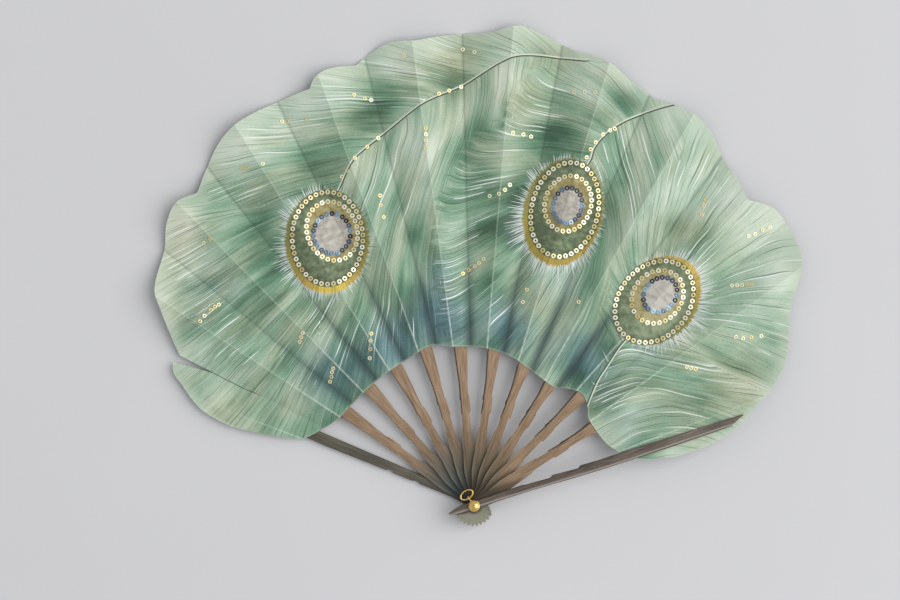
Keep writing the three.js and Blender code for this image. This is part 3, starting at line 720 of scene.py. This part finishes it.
def paint_attributes(mesh, places, ridge, valley, soil_and_shade, radius, edge, inner_edge):
    """Lays the painter's plan on the leaf: flows of the barbs, rings of the eyes, washes, folds and edges."""
    plan = {"lay": np.stack([places[:, 0], places[:, 1], radius], -1)}
    covers = [np.full(len(places), 100.0)] + [side_distance(smooth_path(e, 6), places)[0] for e in COVER_EDGES]
    close = []
    for i, feather in enumerate(FEATHERS):
        flow, distance = barb_flow(feather, places, covers[i])
        plan[BARBS[i]] = np.stack([flow, distance, covers[i]], -1)
        # How many mm of flow lie in a mm of cloth.
        steps = ((FLOW_STEP, 0), (0, FLOW_STEP))
        slopes = [barb_flow(feather, places + step, covers[i])[0] - flow for step in steps]
        close.append(np.clip(np.hypot(*slopes) / FLOW_STEP, 0.2, 4))
    plan["closeness"] = np.stack(close, -1)
    plan["strokes"] = np.stack([washes(WHITE_STROKES, places), washes(HAZE_WASHES, places), soil_and_shade], -1)
    rings = [[ellipse_distance(e, places)[0] for e in (*f["gold"], f["blue"])] for f in FEATHERS]
    fringes = [np.stack(ellipse_distance(f["fringe"], places)) for f in FEATHERS]
    plan["eye_rings"] = np.stack([np.min([r[j] for r in rings], axis=0) for j in range(3)], -1)
    nearest = np.argmin([f[0] for f in fringes], axis=0)
    plan["eye_fringe"] = np.stack(fringes)[nearest, :, np.arange(len(places))]
    hairs = [f["hairs"][1] + f["hairs"][2] * eye_direction(f, places, f["hairs"][0]) for f in FEATHERS]
    golden = []
    for feather in FEATHERS:
        direction, most, narrow = feather["golden"]
        golden.append(most * (0.5 + 0.5 * eye_direction(feather, places, direction)) ** narrow)
    plan["eye_tint"] = np.stack([np.choose(nearest, hairs), np.choose(nearest, golden), inner_edge], -1)
    plan["pleat"] = np.stack([ridge, valley, edge], -1)
    plan["wash"] = np.stack([washes(w, places) for w in (SHADE_WASHES, BLUE_WASHES, OLIVE_WASHES)], -1)
    for name, values in plan.items():
        lay_values(mesh, name, values)


# Thin cotton, sized and painted in watercolour and body colour: matt, with fine streaks along the barbs, white
# hairlines on top, blue-green shadows near the sticks, pale ridges that are partly worn and partly a painted
# highlight, and valleys that are partly soiled and partly painted shade.
leaf_paint, node = new_material("painted_cotton")
lay = node("Attribute", out=1, attribute_name="lay")
plan = {}
for name in ("lay", "closeness", "wash", "strokes", "pleat", "eye_tint", "eye_fringe", "eye_rings", *BARBS):
    plan[name] = node("SeparateXYZ", [node("Attribute", out=1, attribute_name=name)]).node.outputs
lay_x, lay_y, from_rivet = plan["lay"]
shade, blue, olive = plan["wash"]
white, hazy, soil_and_shade = plan["strokes"]
to_ridge, to_valley, to_edge = plan["pleat"]
hair_length, golden, to_inner_edge = plan["eye_tint"]
from_eye, *around_eye = plan["eye_fringe"]
waver = node("TexNoise", {"Vector": lay, "Scale": 1 / 35.0, "Detail": 1.0})
grit = node("TexNoise", {"Vector": lay, "Scale": 1 / 0.9, "Detail": 1.0})
mottle = node("TexNoise", {"Vector": lay, "Scale": 1 / 4.0, "Detail": 4.0})


def brush_strokes(barbs, spacing, length, half_width, per_mm):
    """How much a place is covered by separate tapering strokes along the barbs, of which so many lie side by side in
    a mm. Each lies in a row of the flow; where the rows are close, fewer of them hold one."""
    flow, distance, close = barbs
    along = node("Math", [distance], operation="ABSOLUTE")
    # Each row is cut into strokes from a start of its own.
    rows = node("Math", [flow, 1 / spacing, spacing], **TIMES_PLUS)
    row = node("Math", [rows], operation="FLOOR")
    start = node("TexWhiteNoise", {"W": row}, noise_dimensions="1D")
    cells = node("Math", [along, 1 / length], **TIMES)
    cells = node("Math", [start, 9.0, cells], **TIMES_PLUS)
    cell = node("Math", [cells], operation="FLOOR")
    which = node("CombineXYZ", [row, cell, spacing])
    chances = node("TexWhiteNoise", {"Vector": which}, out=1, noise_dimensions="3D")
    chances = node("SeparateXYZ", [chances]).node.outputs
    # A stroke is widest at its middle and has its own width and its own place across the row.
    here = node("Math", [cells], operation="FRACT")
    rest = node("Math", [1.0, here], **MINUS)
    taper = node("Math", [here, rest], **TIMES)
    wide = node("MapRange", [chances[0], 0.0, 1.0, 2.4 * half_width, 5.0 * half_width])
    half = node("Math", [taper, wide], **TIMES)
    middle = node("MapRange", [chances[1], 0.0, 1.0, 0.3, 0.7])
    beside = node("Math", [rows], operation="FRACT")
    beside = node("Math", [beside, middle], **MINUS)
    beside = node("Math", [beside], operation="ABSOLUTE")
    beside = node("Math", [beside, close], operation="DIVIDE")
    left_over = node("Math", [beside, -spacing, half], **TIMES_PLUS)
    covered = node("MapRange", [left_over, -0.12, 0.2], **SMOOTH)
    # As many cells hold a stroke as are wanted in a mm.
    share = node("Math", [per_mm, spacing], **TIMES)
    share = node("Math", [share, close], operation="DIVIDE")
    share = node("Math", [share, chances[2]], **MINUS)
    laid = node("MapRange", [share, 0.0, 0.1], **SMOOTH)
    return node("Math", [covered, laid], **TIMES)


SAGE = [(0.3, "#48634e"), (0.41, "#728c72"), (0.5, "#98ab90"), (0.59, "#b5c3aa"), (0.7, "#d5ddc9")]
GREEN = [(0.3, "#3c5f4d"), (0.41, "#5f8a70"), (0.5, "#80a68c"), (0.59, "#a4bfa9"), (0.7, "#cadbcb")]
BLUED = [(0.3, "#334c52"), (0.41, "#517178"), (0.5, "#6c8c92"), (0.59, "#8aa8aa"), (0.7, "#b4cac8")]
OLIVE = [(0.3, "#555a43"), (0.41, "#7d8466"), (0.5, "#a3a787"), (0.59, "#bcc0a2"), (0.7, "#d9dac4")]
FRINGE = [
    (0.0, "#7f804f"), (0.2, "#938a4a"), (0.45, "#9d9148"), (0.72, "#b59a50"), (0.86, "#d0b25c"), (1.0, "#ecd25e"),
]
EYE_OLIVE = [(0.3, "#5d6a4f"), (0.5, "#7b896b"), (0.68, "#949f82")]
EYE_GOLD = [(0.35, "#8b8055"), (0.5, "#a19767"), (0.65, "#b3aa80")]
EYE_SILVER = [(0.35, "#a29d93"), (0.5, "#b5b0a4"), (0.65, "#c6c2b8")]
white_lines = node("Math", [white, 0.36, 0.02], **TIMES_PLUS)
fine_lines = node("Math", [white, 0.6, 0.05], **TIMES_PLUS)
olive_share = node("MapRange", [olive, 0.05, 0.7, 0.0, 0.9])
blue_share = node("MapRange", [blue, 0.1, 0.9, 0.0, 0.9])
haze = node("MapRange", [hazy, 0.0, 1.0, 0.0, 0.6])
# Each feather is painted over the one before: broad washes and soft barbs, whose noise gives tone and hue, then dark
# lines in two sizes and white ones. The painter's hand wavers, and a feather's edge is as ragged as its barbs.
colour = None
for name, close in zip(BARBS, plan["closeness"]):
    flow, distance, cover = plan[name]
    hand = node("Math", [waver, close], **TIMES)
    flow = node("Math", [hand, 4.0, flow], **TIMES_PLUS)
    run = node("CombineXYZ", [flow, lay_x, lay_y])
    washed = node("VectorMath", [run, (1 / 16, 1 / 45, 1 / 45)], **TIMES)
    broad = node("TexNoise", {"Vector": washed, "Scale": 1.0, "Detail": 3.0}, out=1)
    broad_tone, broad_hue, _ = node("SeparateXYZ", [broad]).node.outputs
    barbed = node("VectorMath", [run, (1 / 1.4, 1 / 40, 1 / 40)], **TIMES)
    fine = node("TexNoise", {"Vector": barbed, "Scale": 1.0, "Detail": 2.0})
    shaded = node("Math", [shade, 0.2, 0.11], **TIMES_PLUS)
    for signal, amount in ((broad_tone, 0.5), (fine, 0.2), (grit, 0.1)):
        shaded = node("Math", [signal, amount, shaded], **TIMES_PLUS)
    own, *paints = [node("ValToRGB", [shaded], stops=stops) for stops in (SAGE, GREEN, OLIVE, BLUED)]
    hue = node("MapRange", [broad_hue, 0.38, 0.6, 0.0, 0.7], **SMOOTH)
    layers = list(zip((hue, olive_share, blue_share, haze), (*paints, linear("#c3cdc8"))))
    for spacing, length, half_width, per_mm, strength, code in (
        (1.5, 30.0, 0.2, 0.32, 0.6, "#41584a"),
        (2.3, 38.0, 0.3, 0.15, 0.62, "#3a5043"),
        (1.1, 26.0, 0.2, fine_lines, 0.5, "#e0eae2"),
        (1.9, 38.0, 0.34, white_lines, 0.88, "#edf3ec"),
    ):
        stroke = brush_strokes((flow, distance, close), spacing, length, half_width, per_mm)
        layers.append((node("Math", [stroke, strength], **TIMES), linear(code)))
    for amount, paint in layers:
        own = node("Mix", {0: amount, 6: own, 7: paint}, out=2, **RGBA)
    if colour is not None:
        ends = node("VectorMath", [run, (1 / 2.5, 1 / 30, 1 / 30)], **TIMES)
        ends = node("TexNoise", {"Vector": ends, "Scale": 1.0, "Detail": 0.0})
        ends = node("MapRange", [ends, 0.3, 0.7, -3.0, 5.0])
        reach = node("Math", [cover, ends], **PLUS)
        over = node("MapRange", [reach, -4.0, 3.0], **SMOOTH)
        own = node("Mix", {0: over, 6: colour, 7: own}, out=2, **RGBA)
    colour = own

# Folds and edges: a pale rim, ridges partly worn and partly a painted highlight, valleys partly soiled and partly
# painted shade, both strongest near the sticks, and a frayed cut.
layers = [(node("MapRange", [to_edge, 14.0, 0.0, 0.0, 0.5], **SMOOTH), linear("#c9d6c2"))]
# Painted shade and soil along the valleys, broad and narrow.
for width, near, far, code in ((5.5, 0.75, 0.0, "#33474a"), (1.6, 0.3, 0.3, "#47594f")):
    share = node("MapRange", [from_rivet, 105.0, 185.0, near, far], **SMOOTH)
    soiled_and_shaded = node("MapRange", [to_valley, width, 0.0], **SMOOTH)
    soiled_and_shaded = node("Math", [soiled_and_shaded, share], **TIMES)
    layers.append((node("Math", [soiled_and_shaded, soil_and_shade], **TIMES), linear(code)))
# Painted highlight and wear along the ridges.
share = node("MapRange", [from_rivet, 105.0, 160.0, 0.6, 0.22], **SMOOTH)
rubbed = node("MapRange", [mottle, 0.35, 0.6, 0.4, 1.0])
worn_and_highlit = node("MapRange", [to_ridge, 0.75, 0.2], **SMOOTH)
worn_and_highlit = node("Math", [worn_and_highlit, share], **TIMES)
layers.append((node("Math", [worn_and_highlit, rubbed], **TIMES), linear("#d6e3d3")))
cut = node("Math", [to_edge, to_inner_edge], operation="MINIMUM")
layers.append((node("MapRange", [cut, 1.2, 0.3, 0.0, 0.2], **SMOOTH), linear("#d9dcc8")))

# Quills: a white line with a dark line under it.
for name in BARBS:
    away = plan[name][1]
    dark_line = node("MapRange", [away, -1.2, -0.6], **SMOOTH)
    light_line = node("MapRange", [away, -0.3, 0.2], **SMOOTH)
    end_line = node("MapRange", [away, 1.0, 0.4], **SMOOTH)
    quill = node("Mix", {0: light_line, 6: linear("#4d513f"), 7: linear("#d3dccb")}, out=2, **RGBA)
    layers.append((node("Math", [dark_line, end_line], **TIMES), quill))

# Eyes: white hairs, a yellow fringe of fine strokes, dark olive, gold and a silver middle.
around = node("CombineXYZ", [*around_eye, 0.0])
hair = node("TexNoise", {"Vector": around, "Scale": 52.0, "Detail": 1.0}, out=1)
hair, tuft, strand = node("SeparateXYZ", [hair]).node.outputs
hair_end = node("MapRange", [hair, 0.42, 0.68, 0.0, 1.6])
hair_end = node("Math", [hair_end, hair_length], **TIMES)
hair_left = node("Math", [hair_end, from_eye], **MINUS)
layers.append((node("MapRange", [hair_left, 0.0, 2.5, 0.0, 0.7], **SMOOTH), linear("#e2e7e4")))
gap = node("MapRange", [hair, 0.46, 0.38, 0.0, 0.45], **SMOOTH)
near_eye = node("MapRange", [from_eye, 6.0, 2.0], **SMOOTH)
layers.append((node("Math", [gap, near_eye], **TIMES), linear("#465549")))
ragged = node("MapRange", [tuft, 0.35, 0.65, -0.8, 0.8])
ragged = node("Math", [from_eye, ragged], **PLUS)
fringed = node("MapRange", [ragged, 0.6, -0.6], **SMOOTH)
yellow = node("ValToRGB", [golden], stops=FRINGE)
between = node("MapRange", [strand, 0.52, 0.36, 0.0, 0.6], **SMOOTH)
layers.append((fringed, node("Mix", {0: between, 6: yellow, 7: linear("#77702f")}, out=2, **RGBA)))
eye_tone = node("Math", [shade, 0.3, mottle], **TIMES_PLUS)
grounds = [node("ValToRGB", [eye_tone], stops=stops) for stops in (EYE_OLIVE, EYE_GOLD, EYE_SILVER)]
border = node("MapRange", [plan["eye_rings"][0], -6.0, -0.5, 0.0, 0.45], **SMOOTH)
grounds[0] = node("Mix", {0: border, 6: grounds[0], 7: linear("#414d39")}, out=2, **RGBA)
for ring, ground, reach in zip(plan["eye_rings"], grounds, (1.8, 0.0, 0.0)):
    layers.append((node("MapRange", [ring, reach + 0.4, reach - 0.4], **SMOOTH), ground))
for amount, paint in layers:
    colour = node("Mix", {0: amount, 6: colour, 7: paint}, out=2, **RGBA)

# Weave: threads 0.5 mm apart, drawn at 0.9 mm so that they show.
threads = node("VectorMath", [lay, (7.0, 7.0, 0.0)], **TIMES)
sines = node("VectorMath", [threads], operation="SINE")
weft, warp, _ = node("SeparateXYZ", [sines]).node.outputs
weave = node("Math", [weft, warp], **TIMES)
relief = node("Bump", {"Strength": 0.15, "Distance": 0.05 * MM, "Height": weave})
skin = {"Base Color": colour, "Roughness": 0.8, "Specular IOR Level": 0.25, "Sheen Weight": 0.06, "Normal": relief}
finish_material(node, skin)

# The unpainted back: pale grey-green cotton, softly blotched.
leaf_back, node = new_material("bare_cotton_back")
lay = node("Attribute", out=1, attribute_name="lay")
blotch = node("TexNoise", {"Vector": lay, "Scale": 1 / 22.0, "Detail": 4.0})
tone = node("ValToRGB", [blotch], stops=[(0.35, "#a3b3a3"), (0.5, "#b4c2b1"), (0.68, "#c6cfbf")])
finish_material(node, {"Base Color": tone, "Roughness": 0.85, "Specular IOR Level": 0.2})


def new_piece(name, points, faces, materials):
    """A piece made of points in mm and faces."""
    mesh = bpy.data.meshes.new(name)
    mesh.from_pydata(points * MM, [], faces)
    for material in materials:
        mesh.materials.append(material)
    piece = bpy.data.objects.new(name, mesh)
    bpy.context.collection.objects.link(piece)
    return piece, mesh


def hang_on_fold(piece):
    """Bakes a piece's placement into its points."""
    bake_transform(piece)


ridges = np.array([fold_angle(r) for r in range(LAST + 1)])
valleys = np.array([fold_angle(valley_fold(r)) for r in range(LAST)])
for k in range(LAST + 1):
    grids = [face_grid(k, False)] + ([face_grid(k, True)] if k < LAST else [])
    if 0 < k < LAST:
        grids = [np.concatenate([grids[0], grids[1][:, 1:]], axis=1)]
    points, faces = np.zeros((0, 8)), []
    for grid in grids:
        columns = grid.shape[1]
        a = len(points) + np.add.outer(np.arange(LEAF_ROWS) * columns, np.arange(columns - 1)).ravel()
        faces += np.stack([a, a + 1, a + columns + 1, a + columns], -1).tolist()
        points = np.vstack([points, grid.reshape(-1, 8)])
    pleat_piece, mesh = new_piece(f"pleat_{k:02d}", points[:, :3], faces, [leaf_paint, leaf_back])
    fold, radius = points[:, 4], points[:, 5]
    degrees = np.array([fold_angle(f) for f in fold])
    to_ridge = radius * np.radians(np.min(np.abs(degrees[:, None] - ridges), axis=1))
    from_valleys = np.abs(degrees[:, None] - valleys)
    to_valley = radius * np.radians(np.min(from_valleys, axis=1))
    soil_and_shade = np.array(VALLEY_SOIL_AND_SHADE)[np.argmin(from_valleys, axis=1)]
    paint_attributes(mesh, points[:, :2].copy(), to_ridge, to_valley, soil_and_shade, radius, points[:, 6], points[:, 7])
    lay_values(mesh, "turn_share", points[:, 3])
    apply_modifier(pleat_piece, "SOLIDIFY", thickness=LEAF_T * MM, offset=-1, material_offset=1)
    smooth_piece(pleat_piece, 15)
    if k < LAST:
        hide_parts(f"leaf_panel_{k:02d}", f"leaf_fold_{k:02d}")
        shares = np.zeros(len(mesh.vertices), np.float32)
        mesh.attributes["turn_share"].data.foreach_get("value", shares)
        hang_on_fold(pleat_piece)
    else:
        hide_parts(f"leaf_panel_{k:02d}")
        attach(pleat_piece, "front_guard")

# ---- Sequins ----
# Small stamped metal rings, gold ones in two rows round each eye, along the quills and in short rows on the barbs,
# and blue ones round the eyes' silver middles. Each is sewn flat on the cloth.
SEQUIN_R = 1.52
SEQUIN_HOLE = 0.62
SEQUIN_H = 0.26
SEQUIN_TILT = 0.04
STITCH_GAP = 0.03
GOLD_SPACING = 3.75
BLUE_SPACING = 3.35
ROW_SIZE = 0.85
ROW_PAINTED_GLINT = 0.75
BLUE_PAINTED_GLINT = 0.45
BLUE_SLOPE = 0.15
BLUE_SPREAD = 0.32
LOWER_LEFT = (-0.8, -0.6)
SEQUIN_ROWS = [
    [(-43.5, 277.9)], [(-7.1, 282.4), (0.2, 280.6)], [(-74.4, 254.2), (-67.9, 252.0), (-63.9, 251.1)],
    [(-30.0, 233.3), (-29.9, 229.4), (-29.9, 225.7), (-29.9, 220.7)],
    [(-58.3, 191.8), (-58.0, 185.9), (-56.0, 178.5)], [(23.9, 230.3), (30.4, 229.4), (35.2, 228.2)],
    [(9.6, 191.4), (15.3, 192.8), (19.0, 195.1), (22.1, 198.3)],
    [(-103.8, 238.3), (-116.1, 238.1), (-119.2, 238.1)], [(-140.7, 209.1), (-144.0, 208.5), (-130.8, 211.4)],
    [(32.6, 133.5), (30.1, 125.9)], [(64.5, 125.9)],
    [(5.9, 152.4), (3.1, 150.0), (0.3, 148.1), (-3.3, 145.7), (-6.9, 143.5)],
    [(-81.8, 203.4), (-78.7, 207.1), (-73.8, 215.1), (-66.3, 222.0), (-59.5, 227.5)],
    [(-21.7, 254.8), (-15.5, 256.7), (-8.1, 259.2)], [(61.7, 255.6), (68.2, 255.6), (74.4, 255.1)],
    [(69.4, 215.1), (71.9, 220.1), (75.0, 224.4), (79.6, 229.3), (83.9, 231.9), (86.9, 232.9)],
    [(-167.5, 162.3), (-163.3, 165.0)],
    [(-158.6, 124.3), (-160.9, 123.0), (-163.3, 121.0), (-167.2, 117.4), (-169.8, 114.0)],
    [(-106.2, 106.6), (-107.2, 104.0), (-108.2, 101.2)],
    [(-87.4, 84.7), (-88.2, 82.2), (-88.5, 79.4), (-89.4, 76.4)],
    [(-63.7, 106.3), (-64.2, 101.9), (-64.3, 96.7), (-64.7, 91.0)],
    [(143.0, 189.3), (142.0, 185.4), (140.3, 180.0)],
    [(169.4, 166.6), (173.5, 167.7), (178.1, 170.3), (182.7, 171.9)],
    [(159.2, 136.1), (162.3, 136.3), (165.2, 136.5), (168.2, 136.7), (171.0, 136.8)],
    [(161.4, 104.3), (165.9, 103.3), (171.1, 104.0), (177.3, 104.8)], [(131.1, 85.8), (133.9, 84.9), (136.7, 84.5)],
]

# Gold-coloured stamped metal, bright and a little pale, and blue-lacquered metal, from navy to light blue. Where on
# these scales a sequin's colour lies is its painted glint.
GOLD_METAL = [(0.0, "#d8c481"), (0.4, "#f1e5b5"), (1.0, "#fffbe4")]
BLUE_METAL = [(0.0, "#20263a"), (0.35, "#3a4f6e"), (0.7, "#6a8fae"), (1.0, "#a3c6d8")]
metals = []
for name, stops, metallic, roughness in (
    ("gold_stamped_metal", GOLD_METAL, 0.35, 0.28),
    ("blue_lacquered_metal", BLUE_METAL, 0.45, 0.25),
):
    metal, node = new_material(name)
    shine = node("Attribute", out=2, attribute_name="shine")
    tone = node("ValToRGB", [shine], stops=stops)
    finish_material(node, {"Base Color": tone, "Metallic": metallic, "Roughness": roughness})
    metals.append(metal)


def ring_row(ellipse, spacing):
    """Places evenly spaced round an ellipse."""
    (cx, cy), half_w, half_l, lean = ellipse
    c, s = math.cos(math.radians(lean)), math.sin(math.radians(lean))
    t = np.linspace(0, 2 * math.pi, 721)
    u, v = half_w * np.sin(t), half_l * np.cos(t)
    run = np.concatenate([[0], np.cumsum(np.hypot(np.diff(u), np.diff(v)))])
    count = round(run[-1] / spacing)
    at = np.interp(np.arange(count) / count * run[-1], run, t)
    u, v = half_w * np.sin(at), half_l * np.cos(at)
    return np.stack([cx + u * c + v * s, cy - u * s + v * c], -1)


bpy.ops.mesh.primitive_torus_add(
    major_radius=(SEQUIN_R + SEQUIN_HOLE) / 2,
    minor_radius=(SEQUIN_R - SEQUIN_HOLE) / 2,
    major_segments=14,
    minor_segments=4,
)
pattern = bpy.context.object
bpy.ops.object.mode_set(mode="EDIT")
bpy.ops.mesh.select_all(action="SELECT")
bpy.ops.transform.resize(value=(1, 1, SEQUIN_H / (SEQUIN_R - SEQUIN_HOLE)))
bpy.ops.object.mode_set(mode="OBJECT")
ring_points = np.array([v.co[:] for v in pattern.data.vertices])
ring_faces = [tuple(face.vertices) for face in pattern.data.polygons]
bpy.data.objects.remove(pattern)

# Each has a painted glint in its colour, by chance, and the blue ones carry a painted reflection that is a little
# darker at the upper right.
chance = np.random.default_rng(7)
sewn = [(place, 0, chance.random() * ROW_PAINTED_GLINT, ROW_SIZE) for row in SEQUIN_ROWS for place in row]
for feather in FEATHERS:
    for row in feather["gold"]:
        sewn += [(tuple(place), 0, chance.random(), 1) for place in ring_row(row, GOLD_SPACING)]
    blues = ring_row(feather["blue"], BLUE_SPACING)
    # The blue rows' painted reflection, paler towards the lower left.
    pale = BLUE_PAINTED_GLINT + BLUE_SLOPE * (blues - blues.mean(0)) @ LOWER_LEFT / feather["blue"][1]
    sewn += [(tuple(place), 1, share + chance.normal(0, BLUE_SPREAD), 1) for place, share in zip(blues, pale)]


def pleat_at(x, y):
    """The pleat that holds a place, and whether that is on its free face."""
    degrees = math.degrees(math.atan2(y, x))
    k = max(j for j in range(LAST + 1) if j == 0 or fold_angle(j) >= degrees)
    return k, k < LAST and degrees < fold_angle(valley_fold(k))


on_pleat = [[] for _ in range(LAST + 1)]
for (x, y), kind, shine, size in sewn:
    on_pleat[pleat_at(x, y)[0]].append((x, y, kind, shine, size, chance.normal(0, SEQUIN_TILT, 2)))

# A ring lies on the highest places of the cloth under it, so that it bridges a valley.
round_it = np.linspace(0, 2 * math.pi, 9)
under_ring = np.stack([np.cos(round_it), np.sin(round_it)], -1) * SEQUIN_R
under_ring[0] = 0
with_pleat = [[] for _ in range(LAST + 1)]
for k, batch in enumerate(on_pleat):
    if not batch:
        continue
    points, faces, kinds, painted_glints = [], [], [], []
    for x, y, kind, shine, size, tilt in batch:
        spots = under_ring * size
        heights = np.array([leaf_height(*pleat_at(x + u, y + v), x + u, y + v)[0] for u, v in spots])
        lean = np.linalg.lstsq(np.column_stack([spots, np.ones(len(spots))]), heights, rcond=None)[0][:2] + tilt
        lift = (heights - spots @ lean).max() + LEAF_T + SEQUIN_H / 2 + STITCH_GAP
        ring = ring_points * size
        ring += np.column_stack([np.tile((x, y), (len(ring), 1)), lift + ring[:, :2] @ lean])
        first = len(points) * len(ring)
        points.append(ring)
        faces += [tuple(first + i for i in face) for face in ring_faces]
        kinds += [kind] * len(ring_faces)
        painted_glints += [shine] * len(ring_points)
    points = np.vstack(points)
    piece, mesh = new_piece(f"sequins_{k:02d}", points, faces, metals)
    mesh.polygons.foreach_set("material_index", kinds)
    lay_values(mesh, "shine", np.array(painted_glints))
    smooth_piece(piece, 60)
    if k < LAST:
        hang_on_fold(piece)
    else:
        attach(piece, "front_guard")
    with_pleat[k].append(piece)

# ---- Front guard ----
# The uppermost stick, as stout as the rear guard but with a pointed tail, which lies on the leaf's last face and
# closes over the rest.
front_guard = carved_copy("front_guard", "front_guard_wood", LAST, GUARD_WEAR, CLEAR_OF_RIVET)
front_guard.data.materials.append(guard_wood)
lay_values(front_guard.data, "front", np.ones(len(front_guard.data.vertices)))
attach(front_guard, "front_guard")

# ---- Swivel collar ----
# A brass washer on the rivet with an upright eye at one side, which swings round so that the ring finds its place.
COLLAR_WEAR = 0.1 * MM
collar = carved_copy("swivel_collar", "brass_collar", 0, COLLAR_WEAR)
collar.data.materials.append(brass)
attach(collar, "collar")

# ---- Hanging ring ----
# A small oval ring of bent brass wire in the collar's eye, for a ribbon.
RING_LENGTH = 9.3 * MM
RING_WIDTH = 6.0 * MM
WIRE_R = 0.5 * MM
EYE_DIRECTION = math.radians(123)
ring_low, ring_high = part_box("hanging_ring")
bpy.ops.curve.primitive_bezier_circle_add(radius=1)
ring = bpy.context.object
ring.name = "brass_ring"
bpy.ops.object.mode_set(mode="EDIT")
bpy.ops.curve.select_all(action="SELECT")
bpy.ops.curve.subdivide(number_cuts=2)
bpy.ops.transform.resize(value=(RING_WIDTH / 2 - WIRE_R, RING_LENGTH / 2 - WIRE_R, 1))
bpy.ops.object.mode_set(mode="OBJECT")
ring.data.bevel_depth = WIRE_R
ring.data.bevel_resolution = 4
ring.data.resolution_u = 8
bpy.ops.object.convert(target="MESH")
ring.location = (ring_low + ring_high) / 2
ring.rotation_euler = (0, 0, EYE_DIRECTION)
bpy.ops.object.transform_apply(location=True, rotation=True)
smooth_piece(ring, 60)
ring.data.materials.append(brass)
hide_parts("hanging_ring")
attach(ring, "ring")

# ---- Rivet cap ----
# A polished brass dome on a low flange, pressed on the pin's end.
DOME_R = 3.1 * MM
DOME_RIM = 0.5 * MM
dome_low, dome_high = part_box("rivet_dome")
rim_height = dome_low.z + DOME_RIM
bpy.ops.mesh.primitive_uv_sphere_add(segments=40, ring_count=24, radius=DOME_R, location=(0, 0, rim_height))
dome = bpy.context.object
dome.name = "brass_dome"
bpy.ops.object.transform_apply(location=True)
bpy.ops.object.mode_set(mode="EDIT")
bpy.ops.mesh.select_all(action="SELECT")
bpy.ops.mesh.bisect(plane_co=(0, 0, rim_height), plane_no=(0, 0, 1), clear_inner=True, use_fill=True)
bpy.ops.mesh.select_all(action="SELECT")
bpy.ops.transform.resize(value=(1, 1, (dome_high.z - rim_height) / DOME_R), center_override=(0, 0, rim_height))
select_faces(dome, lambda centre, normal: normal.z < -0.9)
bpy.ops.mesh.extrude_region_move(TRANSFORM_OT_translate={"value": (0, 0, -DOME_RIM)})
bpy.ops.mesh.select_all(action="SELECT")
bpy.ops.mesh.normals_make_consistent(inside=False)
bpy.ops.object.mode_set(mode="OBJECT")
smooth_piece(dome, 40)
dome.data.materials.append(brass)
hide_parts("rivet_dome")
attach(dome, "rear_guard")
